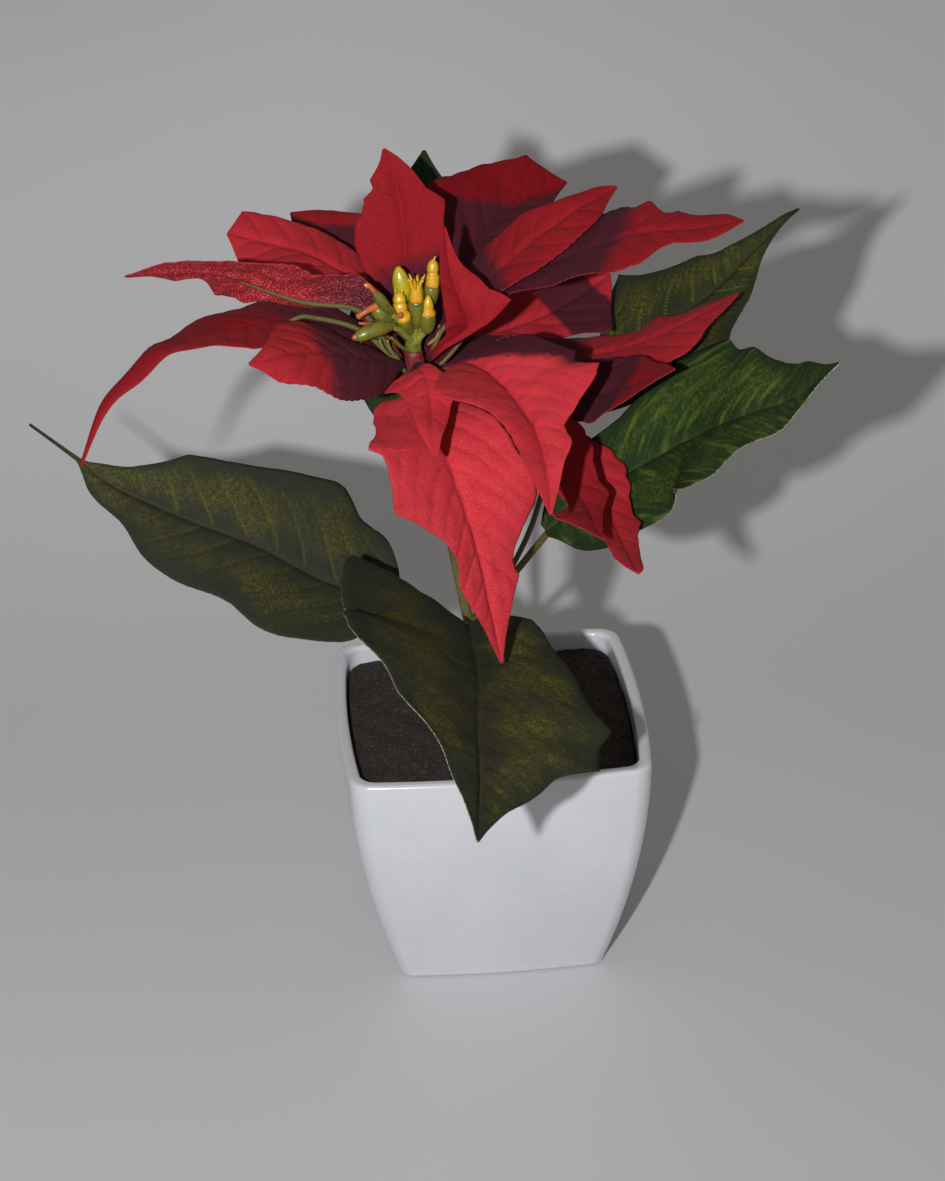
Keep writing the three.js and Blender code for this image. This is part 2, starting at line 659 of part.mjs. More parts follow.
// Dark granular filling with an uneven top and a plain hole for the stem.
function soil() {
  const edge = (z) => insideHalf(z) - GAP;
  const levels = WALL_LEVELS.slice(1);
  const lowest = POT.floor + GAP;
  const shares = [0.85, 0.68, 0.5, 0.32, 0.14, 0];
  const lump = (x, y) => SOIL.lump * Math.sin(x / 3.1 + 2 * Math.sin(y / 7)) * Math.cos(y / 3.7 + x / 9);
  const wallRing = (half, z) => planRing(half, z);
  const topRing = (share) => PLAN.map(([x, y]) => {
    const wide = edge(SOIL.top);
    const turn = Math.hypot(x, y);
    const px = share * wide * x + (1 - share) * (SOIL.hole * x) / turn;
    const py = share * wide * y + (1 - share) * (SOIL.hole * y) / turn;
    return new THREE.Vector3(px, py, SOIL.top + (share > 0 ? lump(px, py) : 0));
  });
  const holeRing = (z) => PLAN.map(([x, y]) => {
    const turn = Math.hypot(x, y);
    return new THREE.Vector3((SOIL.hole * x) / turn, (SOIL.hole * y) / turn, z);
  });
  const profile = [[edge(POT.floor), lowest], ...levels.map((z) => [edge(z), z])];
  const shell = new Shell();
  const rings = [
    ...profile.map(([half, z]) => wallRing(half, z)),
    ...shares.map(topRing),
    holeRing(SOIL.holeBottom),
  ].map((ring) => ring.map((point) => shell.add(point)));
  for (let k = 1; k < rings.length; k += 1) {
    shell.join(rings[k - 1], rings[k]);
  }
  shell.close(rings[0], shell.add(vector([0, 0, lowest])), false);
  shell.close(rings[rings.length - 1], shell.add(vector([0, 0, SOIL.holeBottom])), true);
  return shell.geometry();
}

// ---------------------------------------------------------------- stem

// The point of the boss's axis at height z.
function bossAxis(z) {
  const share = (z - BOSS.foot[2]) / (BOSS.top[2] - BOSS.foot[2]);
  return vector(BOSS.foot).lerp(vector(BOSS.top), share);
}

function stem() {
  const main = bar(
    [...STEM.path, BOSS.foot],
    [[0, STEM.lower], [0.43, STEM.lower], [0.45, STEM.collar], [0.47, STEM.collar], [0.49, STEM.upper], [1, STEM.upper]],
    8,
    14,
  );
  const boss = bar(
    [bossAxis(BOSS.foot[2] - 3).toArray(), BOSS.foot, bossAxis(178).toArray(), BOSS.top],
    [[0, STEM.upper], [0.18, BOSS.radius], [0.92, BOSS.radius], [0.97, 0.85 * BOSS.radius], [1, 0.5 * BOSS.radius]],
    10,
    3,
  );
  const stalks = Object.entries(LEAF_STALKS).map(([name, { path, radius }]) => {
    const base = vector(LEAVES[name].rib[0]);
    const way = vector(LEAVES[name].rib[1]).sub(base).normalize();
    const end = base.clone().addScaledVector(way, -1.5 * GAP);
    const lead = base.clone().addScaledVector(way, -4);
    return bar([...path, lead.toArray(), end.toArray()], [[0, 1.3 * radius], [0.2, radius], [1, 0.9 * radius]], 7, 6);
  });
  return fused([main, boss, ...stalks]);
}

// ---------------------------------------------------------------- blades

// Distance of a margin from the midrib: a smooth curve through the margin's points that never
// swings past them, broken at each tooth.
function marginCurve(margin) {
  const points = [...margin];
  if (points[0][0] > 0) {
    points.unshift([0, 0.8]);
  }
  points.push([1, 0.4]);
  const run = points.slice(1).map((point, k) => point[0] - points[k][0]);
  const rise = points.slice(1).map((point, k) => (point[1] - points[k][1]) / run[k]);
  const slope = (k) => {
    if (k === 0) {
      return rise[0];
    }
    if (k === points.length - 1) {
      return rise[k - 1];
    }
    if (rise[k - 1] * rise[k] <= 0) {
      return 0;
    }
    const before = 2 * run[k] + run[k - 1];
    const after = run[k] + 2 * run[k - 1];
    return (before + after) / (before / rise[k - 1] + after / rise[k]);
  };
  return (place) => {
    let k = 0;
    while (k < points.length - 2 && place >= points[k + 1][0]) {
      k += 1;
    }
    const s = (place - points[k][0]) / run[k];
    const leaving = points[k][2] ? rise[k] : slope(k);
    const arriving = points[k + 1][2] ? rise[k] : slope(k + 1);
    return (2 * s ** 3 - 3 * s ** 2 + 1) * points[k][1]
      + (s ** 3 - 2 * s ** 2 + s) * run[k] * leaving
      + (3 * s ** 2 - 2 * s ** 3) * points[k + 1][1]
      + (s ** 3 - s ** 2) * run[k] * arriving;
  };
}

// Places along the midrib: every margin point, with the wide steps between them halved.
function bladeStations(right, left) {
  const places = [0, ...[...right, ...left].map((point) => point[0]).sort((a, b) => a - b), 1];
  const kept = [];
  places.forEach((place) => {
    const last = kept[kept.length - 1];
    if (last !== undefined && place - last > 0.11) {
      kept.push((place + last) / 2);
    }
    if (last === undefined || place - last > 0.012) {
      kept.push(place);
    }
  });
  return kept;
}

const COLUMNS = [-1, -0.5, 0, 0.5, 1];

// One value, or several at even steps from the stalk to the tip, as [place, value] pairs.
const evenly = (values) => [values].flat().map((value, k, all) => [k / Math.max(all.length - 1, 1), value]);

// Middle surface of a blade: rows of points along the midrib, one for each column.
function bladeRows({ rib, face, roll, fold, right, left }) {
  const curve = curveThrough(rib);
  const length = curve.getLength();
  const rightMargin = marginCurve(right);
  const leftMargin = marginCurve(left);
  const rolls = evenly(roll);
  const folds = evenly(fold);
  return bladeStations(right, left).map((place) => {
    const along = curve.getTangentAt(place);
    const up = vector(face).addScaledVector(along, -vector(face).dot(along)).normalize();
    const across = new THREE.Vector3().crossVectors(along, up);
    const turn = THREE.MathUtils.degToRad(reading(rolls, place));
    const tilt = THREE.MathUtils.degToRad(reading(folds, place));
    const normal = up.clone().multiplyScalar(Math.cos(turn)).addScaledVector(across, Math.sin(turn));
    const side = across.clone().multiplyScalar(Math.cos(turn)).addScaledVector(up, -Math.sin(turn));
    const points = COLUMNS.map((column) => {
      const width = column > 0 ? rightMargin(place) : leftMargin(place);
      const out = column * width;
      const phase = (2 * Math.PI * place * length) / BLADE.rippleLength + (column > 0 ? 0 : 2);
      const arch = 4 * BLADE.camber * Math.abs(out) * (1 - Math.abs(column));
      const wave = BLADE.ripple * Math.min(width / 8, 1) * column ** 2 * Math.sin(phase);
      const point = curve.getPointAt(place).addScaledVector(side, out * Math.cos(tilt));
      return point.addScaledVector(normal, Math.abs(out) * Math.sin(tilt) + arch + wave);
    });
    return { place, points };
  });
}

// The way the upper side looks at one point of the middle surface.
function surfaceNormal(rows, i, j) {
  const before = rows[Math.max(i - 1, 0)].points[j];
  const after = rows[Math.min(i + 1, rows.length - 1)].points[j];
  const leftwards = rows[i].points[Math.max(j - 1, 0)];
  const rightwards = rows[i].points[Math.min(j + 1, COLUMNS.length - 1)];
  const across = rightwards.clone().sub(leftwards);
  const along = after.clone().sub(before);
  return across.cross(along).normalize();
}

// A leaf or bract: two faces split into triangles alike, a rib under the midrib, closed margins.
function blade(spec) {
  const rows = bladeRows(spec);
  const shell = new Shell();
  const last = COLUMNS.length - 1;
  const upper = [];
  const lower = [];
  rows.forEach(({ place, points }, i) => {
    const normals = points.map((_, j) => surfaceNormal(rows, i, j));
    upper.push(points.map((point, j) => shell.add(point.clone().addScaledVector(normals[j], BLADE.half))));
    lower.push(points.map((point, j) => {
      const ridge = COLUMNS[j] === 0 ? BLADE.ridge * (1 - place) ** 2 : 0;
      return shell.add(point.clone().addScaledVector(normals[j], -BLADE.half - ridge));
    }));
  });
  for (let i = 1; i < rows.length; i += 1) {
    for (let j = 0; j < last; j += 1) {
      const [a, b, c, d] = [[i - 1, j], [i - 1, j + 1], [i, j + 1], [i, j]];
      const order = COLUMNS[j] < 0 ? [b, c, d, a] : [a, b, c, d];
      shell.quad(...order.map(([row, column]) => upper[row][column]));
      const under = COLUMNS[j] < 0 ? [b, a, d, c] : [a, d, c, b];
      shell.quad(...under.map(([row, column]) => lower[row][column]));
    }
    shell.quad(upper[i - 1][0], upper[i][0], lower[i][0], lower[i - 1][0]);
    shell.quad(upper[i][last], upper[i - 1][last], lower[i - 1][last], lower[i][last]);
  }
  const tip = rows.length - 1;
  for (let j = 0; j < last; j += 1) {
    shell.quad(upper[0][j], lower[0][j], lower[0][j + 1], upper[0][j + 1]);
    shell.quad(upper[tip][j + 1], lower[tip][j + 1], lower[tip][j], upper[tip][j]);
  }
  return shell.geometry();
}

// A bract's midrib begins beside the boss.
function seated({ seat, rib, ...rest }) {
  const [direction, height] = seat;
  const angle = THREE.MathUtils.degToRad(direction);
  const start = bossAxis(height);
  start.x += BOSS.seat * Math.cos(angle);
  start.y += BOSS.seat * Math.sin(angle);
  return { rib: [start.toArray(), ...rib], ...rest };
}

// ---------------------------------------------------------------- the plant

const group = new THREE.Group();
group.name = "poinsettia";

function place(name, geometry, material) {
  const mesh = new THREE.Mesh(geometry, material.clone());
  mesh.name = name;
  group.add(mesh);
}

place("pot", pot(), FINISH.pot);
place("soil", soil(), FINISH.soil);
place("stem", stem(), FINISH.stem);
Object.entries(LEAVES).forEach(([name, spec]) => place(name, blade(spec), FINISH.leaf));
Object.entries(BRACTS).forEach(([name, spec]) => place(name, blade(seated(spec)), FINISH.bract));
place("cyathia", fused(CYATHIA.map(({ path, sizes }) => bar(path, sizes, 7, 2))), FINISH.cyathia);

export default group;
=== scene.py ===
"""Looks of the poinsettia in its pot: cloth bracts and leaves, stalks, flowers, soil and glaze.

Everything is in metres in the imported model's frame. The tables of shapes are in millimetres,
as a maker reads them, and MM turns them into metres.
"""

import logging
import math
from dataclasses import dataclass, field
from enum import Enum
from typing import Any, Sequence

import bpy
import numpy as np
from mathutils import Matrix, Vector


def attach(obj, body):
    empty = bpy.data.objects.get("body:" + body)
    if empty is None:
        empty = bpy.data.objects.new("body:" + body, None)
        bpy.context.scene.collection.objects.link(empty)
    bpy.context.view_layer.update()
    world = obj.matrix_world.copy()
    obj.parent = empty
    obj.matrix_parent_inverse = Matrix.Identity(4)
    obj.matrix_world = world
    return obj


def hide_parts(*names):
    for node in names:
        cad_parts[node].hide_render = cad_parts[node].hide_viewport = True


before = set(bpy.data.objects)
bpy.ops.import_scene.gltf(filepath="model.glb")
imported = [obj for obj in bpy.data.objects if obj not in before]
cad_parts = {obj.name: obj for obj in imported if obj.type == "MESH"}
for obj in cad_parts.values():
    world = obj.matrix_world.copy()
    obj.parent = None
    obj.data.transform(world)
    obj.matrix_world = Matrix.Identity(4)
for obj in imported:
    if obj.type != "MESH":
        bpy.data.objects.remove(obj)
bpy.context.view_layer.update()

log = logging.getLogger("poinsettia")

Colour = tuple[float, float, float, float]
Points = Sequence[Sequence[float]]
Material = bpy.types.Material
Piece = bpy.types.Object

MM = 0.001
TOOTH = 1  # marks a margin point that is a sharp corner

# ------------------------------------------------------------------ sizes and shape tables

GAP = 0.4  # between the soil and the pot's wall
BOSS_FOOT = (-16.6, -13.4, 166.0)
BOSS_TOP = (-18.6, -14.6, 185.0)
BOSS_RADIUS = 2.6
BOSS_SEAT = 3.75  # from the boss's middle line to where a bract begins
CAMBER = 0.05  # how far each half of a blade arches, as a share of its width
RIPPLE = 0.4  # height of the waves along a margin
RIPPLE_LENGTH = 24.0
RIPPLE_WIDTH = 8  # half width from which the waves are full

STEM_PATH = [
    (0, 0, 26), (0, 0, 46), (0, 0, 65), (-2, -2, 80),
    (-5, -4, 97), (-9, -8, 122), (-12, -11, 147), (-15.5, -13, 162),
]

# Leaf stalks: points from the collar outwards, and the radius.
LEAF_STALKS = {
    "leaf_left": ([(-5, -4, 96), (-13, -3, 101)], 1.0),
    "leaf_front": ([(-5, -4, 95), (-6, -11, 101)], 1.0),
    "leaf_right": ([(-5, -4, 97), (1, -6, 106), (7, -9, 115)], 1.0),
    "leaf_upper_right": ([(-5, -4, 98), (4, -3, 109), (12, -2, 124), (18, -1, 143)], 0.8),
    "leaf_back": ([(-5, -4, 98), (-8, 1, 112), (-9, 6, 127)], 0.9),
}

# Blades are set out along the midrib, as in the part's source: rib points from stalk to tip,
# the way the upper side looks, its roll and fold in degrees, and the margins' distances.
LEAVES: dict[str, dict[str, Any]] = {
    "leaf_left": dict(
        rib=[
            (-24, 0, 105), (-41, 4, 108), (-62, 9, 119), (-76, 13, 124), (-87, 17, 128), (-100, 21, 134),
            (-108, 24, 140), (-121, 26, 151),
        ],
        face=(0.1, -0.6, 1), roll=(7, -7, -16), fold=(12,),
        right=[
            (0, 3), (0.02, 10), (0.06, 17), (0.16, 22), (0.26, 27), (0.33, 25), (0.47, 20), (0.61, 17),
            (0.66, 12), (0.73, 7), (0.79, 4), (0.85, 0.7),
        ],
        left=[
            (0, 3), (0.03, 12), (0.08, 20), (0.15, 23), (0.26, 26), (0.38, 22), (0.48, 21), (0.6, 17),
            (0.7, 9), (0.78, 6), (0.83, 2.5), (0.86, 0.7),
        ],
    ),
    "leaf_front": dict(
        rib=[
            (-7, -20, 106), (-7, -38, 112), (-7, -56, 115), (-8, -76, 118), (-10, -98, 119),
            (-12, -124, 119), (-15, -150, 119),
        ],
        face=(0.3, -0.8, 1), roll=(20, 10, 0, -12, -22), fold=(32, 14, 14, 14, 14),
        right=[
            (0, 1), (0.01, 15), (0.025, 36, TOOTH), (0.1, 38), (0.3, 36), (0.45, 40, TOOTH), (0.56, 37),
            (0.62, 29), (0.7, 25), (0.78, 16), (0.88, 9), (0.96, 3),
        ],
        left=[
            (0, 1), (0.02, 6), (0.12, 14), (0.18, 17), (0.29, 21), (0.4, 25), (0.5, 29),
            (0.55, 33, TOOTH), (0.62, 30), (0.68, 30, TOOTH), (0.73, 19), (0.78, 15), (0.87, 7),
            (0.95, 2.5),
        ],
    ),
    "leaf_right": dict(
        rib=[
            (15, -16, 131), (26, -22, 143), (38, -28, 154), (51, -34, 164), (63, -45, 175),
            (74, -52, 182), (84, -61, 195),
        ],
        face=(-0.1, -0.6, 1), roll=(28, -4, -22), fold=(10,),
        right=[
            (0, 2), (0.03, 5), (0.08, 11), (0.15, 15), (0.29, 19), (0.4, 20), (0.48, 19.9), (0.54, 21.7),
            (0.6, 25.4), (0.64, 27.4), (0.69, 24.7), (0.73, 17.5), (0.85, 15, TOOTH), (0.88, 11),
            (0.96, 3),
        ],
        left=[
            (0, 2), (0.05, 6), (0.15, 11), (0.3, 14), (0.44, 20), (0.49, 24), (0.57, 28, TOOTH),
            (0.61, 23), (0.68, 21), (0.73, 17), (0.79, 13, TOOTH), (0.87, 9), (0.95, 3),
        ],
    ),
    "leaf_upper_right": dict(
        rib=[
            (21, 0, 155), (35, 9, 165), (54, 16, 176), (65, 20, 182), (74, 24, 189), (86, 29, 198),
            (90, 35, 198),
        ],
        face=(-0.2, -0.6, 1), roll=(-6, -24, -6), fold=(6,),
        right=[
            (0, 2), (0.06, 8), (0.2, 18), (0.35, 25), (0.49, 27), (0.54, 22), (0.64, 14), (0.75, 6),
            (0.83, 2.5), (0.89, 1),
        ],
        left=[
            (0, 2), (0.06, 6), (0.15, 9), (0.27, 11), (0.31, 17), (0.38, 23), (0.45, 28, TOOTH),
            (0.53, 20), (0.66, 14), (0.72, 8), (0.86, 3),
        ],
    ),
    "leaf_back": dict(
        rib=[(-9, 8, 139), (-11, 18, 157), (-13, 33, 174), (-12, 40, 197), (-10, 52, 214)],
        face=(0, -1, 0.6), roll=(0,), fold=(8,),
        right=[
            (0, 2), (0.08, 8), (0.25, 16), (0.45, 18), (0.65, 15), (0.8, 10), (0.9, 6, TOOTH), (0.95, 3),
        ],
        left=[
            (0, 2), (0.08, 10), (0.25, 20), (0.4, 22), (0.6, 17), (0.8, 10), (0.9, 6, TOOTH), (0.95, 3),
        ],
    ),
}

# seat: direction round the boss in degrees, and height.
# stain: where the dark dye ends along the midrib, how softly, and how much further it runs on
# the left half than on the right. band: a second stretch of it.
# tone: how much deeper the red is than the plain cloth's, on the right half and on the left; it is
# part dye and part painted shade, and below 0 it is brighter, painted light. glint: how many painted
# highlights sparkle on the cloth.
# rib_start, rib_reach, rib_above: where the moulded rib begins, where it ends, and how far it
# lies on the upper side.
BRACTS: dict[str, dict[str, Any]] = {
    "bract_upper_1": dict(
        seat=(95, 182), rib=[(-19, -9, 190), (-19, -5, 198), (-19, 0, 209), (-20, 5, 220), (-23, 9, 231)],
        face=(0, -1, 0.4), roll=(-4, -7, -7), fold=(9,), stain=(0.42, 0.18, -0.06), tone=(0.8, 0.8),
        right=[
            (0.1, 1.2), (0.25, 6), (0.42, 9.5), (0.61, 11), (0.71, 12, TOOTH), (0.78, 7.5), (0.86, 5.5),
            (0.94, 3),
        ],
        left=[
            (0.1, 1.2), (0.22, 6), (0.37, 10), (0.57, 13), (0.67, 12, TOOTH), (0.72, 10),
            (0.79, 9, TOOTH), (0.84, 6), (0.88, 6, TOOTH), (0.95, 2),
        ],
    ),
    "bract_upper_2": dict(
        seat=(22, 182),
        rib=[(-12, -13, 189), (-3, -13, 198), (10, -12, 209), (24, -9, 218), (36, -1, 221)],
        face=(-0.3, -0.6, 1), roll=(-31, -21, 7), fold=(5,), stain=(0.44, 0.1, 0.0), tone=(0.8, 0.8),
        right=[(0.12, 1.2), (0.3, 8), (0.49, 12), (0.64, 11), (0.8, 8), (0.92, 3)],
        left=[(0.12, 1.2), (0.3, 9), (0.44, 12.5), (0.58, 11), (0.73, 7), (0.85, 4.5), (0.95, 2.5)],
    ),
    "bract_upper_3": dict(
        seat=(335, 182),
        rib=[(-12, -24, 189), (-5, -29, 197), (-7, -29, 204), (-9, -24, 210), (-10, -20, 220)],
        face=(-0.3, -1, 0.3), roll=(4, 17, 27), fold=(14,), stain=(0.08, 0.1, 0.0), tone=(0.7, 0.85),
        rib_start=0.42,
        right=[
            (0.12, 1.1), (0.36, 1.3), (0.45, 2.2), (0.49, 6), (0.53, 12, TOOTH), (0.6, 8.5), (0.73, 5),
            (0.85, 2.2),
        ],
        left=[(0.12, 1), (0.28, 1.6), (0.4, 5), (0.5, 6.5), (0.6, 5), (0.73, 3.4), (0.85, 2.2)],
    ),
    "bract_upper_4": dict(
        seat=(172, 182),
        rib=[
            (-26, -15, 189), (-32, -17, 198), (-47, -21, 203), (-66, -27, 213), (-79, -33, 217),
            (-90, -39, 219),
        ],
        face=(0, 1, 0.25), roll=(-13, -16, -16), fold=(3,), stain=(0.36, 0.3, 0.0), tone=(0.78, 0.78),
        painted_glint=0.45, rib_reach=0.62,
        right=[
            (0.1, 1.2), (0.35, 3), (0.5, 4.5), (0.55, 8), (0.65, 9, TOOTH), (0.75, 2.5), (0.82, 4, TOOTH),
            (0.93, 1),
        ],
        left=[
            (0.1, 1.2), (0.2, 7), (0.3, 11), (0.48, 11), (0.63, 7.5), (0.77, 4.5), (0.89, 4), (0.96, 1.5),
        ],
    ),
    "bract_upper_5": dict(
        seat=(222, 182),
        rib=[(-26, -24, 186), (-33, -32, 191), (-46, -43, 198), (-54, -49, 200), (-61, -51, 199)],
        face=(-0.1, -0.4, 1), roll=(-31, -12, -15), fold=(-12,), stain=(0.6, 0.18, 0.05),
        tone=(0.66, 0.66), painted_glint=0.06,
        right=[
            (0.1, 1.5), (0.2, 7), (0.3, 9), (0.47, 14.5), (0.64, 14), (0.77, 10), (0.84, 7), (0.93, 3),
        ],
        left=[
            (0.04, 1.5), (0.1, 3.2), (0.2, 6.6), (0.38, 12), (0.55, 14), (0.79, 10), (0.9, 7),
            (0.96, 2.5),
        ],
    ),
    "bract_upper_6": dict(
        seat=(268, 182),
        rib=[(-17, -27, 184), (-16, -35, 184), (-16, -46, 182), (-17, -59, 181), (-17, -68, 179)],
        face=(0, -0.8, 1), roll=(23, 7, -7, -7), fold=(0,), stain=(0.12, 0.1, 0.0), tone=(0.05, 0.05),
        right=[
            (0.03, 1.2), (0.08, 4), (0.14, 8.5), (0.21, 11.5), (0.27, 12), (0.36, 8.5), (0.5, 6.5),
            (0.7, 4.5), (0.88, 2),
        ],
        left=[(0.06, 1.2), (0.14, 2.6), (0.3, 4.6), (0.44, 7), (0.52, 5), (0.72, 3.5), (0.94, 1.3)],
    ),
    "bract_middle_1": dict(
        seat=(62, 178.5), rib=[(-12, -5, 187), (-7, 7, 193), (1, 21, 198), (14, 37, 203), (28, 46, 205)],
        face=(0, -0.6, 1), roll=(9, 10, 5), fold=(16,), stain=(0.78, 0.08, -0.25), tone=(0.95, 0.95),
        right=[(0.1, 1.2), (0.28, 7), (0.45, 14), (0.7, 13), (0.88, 6), (0.95, 2.5)],
        left=[
            (0.1, 1.2), (0.25, 8), (0.45, 18), (0.59, 20), (0.69, 17), (0.76, 15), (0.86, 11.5),
            (0.91, 11, TOOTH), (0.935, 7.5), (0.97, 3.5),
        ],
    ),
    "bract_middle_2": dict(
        seat=(2, 178.5),
        rib=[
            (-9, -14, 184), (4, -16, 201), (21, -20, 210), (38, -29, 219), (53, -35, 222), (63, -39, 225),
        ],
        face=(-0.2, -0.5, 1), roll=(-13, -18, -15), fold=(1,), stain=(0.67, 0.1, 0.0), tone=(0.8, 0.8),
        right=[
            (0.1, 1.2), (0.3, 5), (0.42, 9), (0.55, 13), (0.63, 14), (0.7, 16), (0.76, 14.5, TOOTH),
            (0.8, 8.5), (0.83, 6), (0.89, 6), (0.96, 3.5),
        ],
        left=[
            (0.1, 1.2), (0.3, 8), (0.48, 15), (0.61, 17), (0.68, 13.5), (0.72, 14, TOOTH), (0.78, 8),
            (0.81, 9, TOOTH), (0.85, 7), (0.95, 4),
        ],
    ),
    "bract_middle_3": dict(
        seat=(312, 178.5),
        rib=[
            (-11, -19, 181), (-5, -26, 185), (3, -46, 186), (8, -67, 184), (9, -84, 181), (8, -101, 178),
        ],
        face=(0.4, -0.5, 1), roll=(23, 13, 20), fold=(15,), stain=(0.14, 0.09, 0.31), tone=(0.16, -0.08),
        right=[
            (0.08, 1.2), (0.2, 9), (0.3, 15), (0.44, 21), (0.5, 18, TOOTH), (0.55, 12), (0.65, 8),
            (0.83, 5), (0.94, 2),
        ],
        left=[
            (0.08, 1.2), (0.18, 9), (0.24, 15), (0.31, 18), (0.37, 21, TOOTH), (0.41, 19),
            (0.46, 23, TOOTH), (0.49, 21, TOOTH), (0.58, 12), (0.65, 7), (0.72, 7.5, TOOTH), (0.81, 4),
            (0.91, 2),
        ],
    ),
    "bract_middle_4": dict(
        seat=(140, 178.5),
        rib=[(-26, -11, 187), (-31, -4, 198), (-41, 5, 203), (-51, 13, 204), (-64.5, 18, 206.3)],
        face=(0.1, -0.5, 1), roll=(42, 22, -2), fold=(1,), stain=(0.3, 0.1, 0.0), tone=(0.47, 0.47),
        right=[
            (0.1, 1.2), (0.26, 2.5), (0.43, 9), (0.51, 11), (0.59, 12), (0.67, 12), (0.81, 10.5),
            (0.98, 9, TOOTH),
        ],
        left=[
            (0.1, 1.2), (0.33, 3), (0.39, 8), (0.53, 10), (0.67, 13), (0.8, 13), (0.88, 12.5, TOOTH),
            (0.96, 4),
        ],
    ),
    "bract_middle_5": dict(
        seat=(202, 178.5),
        rib=[
            (-26, -15, 184), (-33, -16, 191), (-48, -20, 197), (-60, -29, 200), (-73, -43, 203),
            (-82, -55, 205), (-92, -62, 200), (-97, -67, 196), (-103, -72, 184),
        ],
        face=(0, -0.6, 1), roll=(9, 26, 27), fold=(-5,), stain=(0.34, 0.14, 0.0), tone=(0.9, 0.75),
        rib_above=0.3,
        right=[
            (0.08, 1.2), (0.17, 8), (0.25, 12), (0.45, 13), (0.6, 8), (0.73, 5), (0.8, 2.5), (0.85, 2),
            (0.92, 1),
        ],
        left=[
            (0.08, 1.2), (0.22, 9), (0.4, 13), (0.53, 13, TOOTH), (0.6, 7), (0.63, 6), (0.7, 2),
            (0.78, 4), (0.85, 2),
        ],
    ),
    "bract_lower_1": dict(
        seat=(276, 175),
        rib=[
            (-17, -20, 175), (-16, -28, 173), (-14, -39, 171), (-12, -48, 167), (-9, -56, 158),
            (-6, -61, 146), (-4, -65, 134), (-2, -71, 122),
        ],
        face=(0, -1, 0.9), roll=(4, -29, -42), fold=(9,), stain=(0.06, 0.08, 0.0), tone=(0.11, 0.0),
        painted_glint=0.17,
        right=[
            (0.04, 1.5), (0.08, 12), (0.15, 15), (0.24, 16.5), (0.34, 22.3, TOOTH), (0.36, 19),
            (0.42, 20), (0.5, 23.6, TOOTH), (0.55, 15.2), (0.6, 10.6), (0.67, 9), (0.73, 10, TOOTH),
            (0.84, 6), (0.94, 2.7),
        ],
        left=[
            (0.04, 1.5), (0.12, 9), (0.28, 16.5), (0.37, 18.5), (0.45, 22), (0.57, 20), (0.62, 16),
            (0.69, 11), (0.72, 9.5), (0.76, 10.5, TOOTH), (0.83, 7), (0.9, 4), (0.97, 1.5),
        ],
    ),
    "bract_lower_2": dict(
        seat=(112, 171.5),
        rib=[(-22, -4, 186), (-25, 8, 191), (-32, 22, 198), (-40, 34, 201), (-47, 44, 201)],
        face=(0, -0.5, 1), roll=(0,), fold=(6,), stain=(0.85, 0.1, 0.25), tone=(0.8, 0.8),
        right=[(0.1, 1.2), (0.3, 9), (0.5, 14), (0.65, 13), (0.8, 8), (0.92, 4)],
        left=[(0.1, 1.2), (0.3, 9), (0.5, 14), (0.65, 13), (0.8, 8), (0.92, 4)],
    ),
    "bract_lower_3": dict(
        seat=(8, 175),
        rib=[(-5, -10, 176), (10, -5, 178), (31, -4, 176), (44, -6, 180), (57, -4, 185), (68, -2, 190)],
        face=(0, -0.5, 1), roll=(-13, -28, -34), fold=(-6,), stain=(0.5, 0.1, 0.0), tone=(0.58, 0.58),
        right=[(0.08, 1.2), (0.2, 4), (0.4, 11), (0.6, 17), (0.7, 15), (0.77, 13), (0.9, 6)],
        left=[
            (0.08, 1.2), (0.2, 6), (0.4, 13), (0.58, 15), (0.77, 14, TOOTH), (0.83, 6), (0.9, 6, TOOTH),
            (0.94, 4),
        ],
    ),
    "bract_lower_4": dict(
        seat=(340, 174),
        rib=[
            (-9, -17, 174), (3, -23, 174), (18, -22, 173), (30, -25, 174), (39, -36, 182), (45, -46, 189),
        ],
        face=(-0.2, -1, 1), roll=(-8, -20, -30), fold=(6,), stain=(0.72, 0.1, 0.0), tone=(0.84, 0.84),
        right=[(0.1, 1.2), (0.3, 6), (0.5, 9), (0.6, 11), (0.75, 9), (0.85, 5), (0.94, 2.5)],
        left=[(0.1, 1.2), (0.3, 7), (0.5, 11), (0.68, 11), (0.82, 6), (0.93, 3)],
    ),
    "bract_lower_5": dict(
        seat=(306, 171.5),
        rib=[(-10, -22, 173), (1, -34.6, 171.2), (13, -41, 165.6), (20, -53, 159), (23, -78, 159)],
        face=(0.3, -0.7, 1), roll=(0,), fold=(4,), stain=(0.3, 0.12, 0.0), tone=(0.75, 0.75),
        right=[
            (0.06, 1.2), (0.2, 3), (0.5, 4), (0.75, 5), (0.88, 12, TOOTH), (0.91, 11.5, TOOTH), (0.94, 6),
        ],
        left=[
            (0.06, 1.2), (0.2, 7), (0.33, 12), (0.45, 14), (0.55, 11, TOOTH), (0.63, 7.5),
            (0.7, 8, TOOTH), (0.74, 5.5), (0.8, 3.5), (0.88, 2),
        ],
    ),
    "bract_lower_6": dict(
        seat=(318, 168.5),
        rib=[
            (-8, -18, 168), (3, -20, 163), (18, -28, 155), (27, -42, 150), (30, -60, 149), (31, -84, 152),
        ],
        face=(0.3, -0.7, 1), roll=(0,), fold=(4,), stain=(0.3, 0.12, 0.0), tone=(0.35, 0.35),
        right=[(0.06, 1.2), (0.3, 6), (0.6, 8), (0.79, 6), (0.9, 5), (0.97, 3)],
        left=[
            (0.06, 1.2), (0.25, 8), (0.43, 14), (0.49, 13, TOOTH), (0.54, 10), (0.6, 7),
            (0.65, 7.5, TOOTH), (0.72, 5), (0.85, 3), (0.96, 2),
        ],
    ),
    "bract_lower_7": dict(
        seat=(44, 175), rib=[(-3, 5, 177), (3, 16, 174), (21, 23, 176.5), (38, 30, 184)],
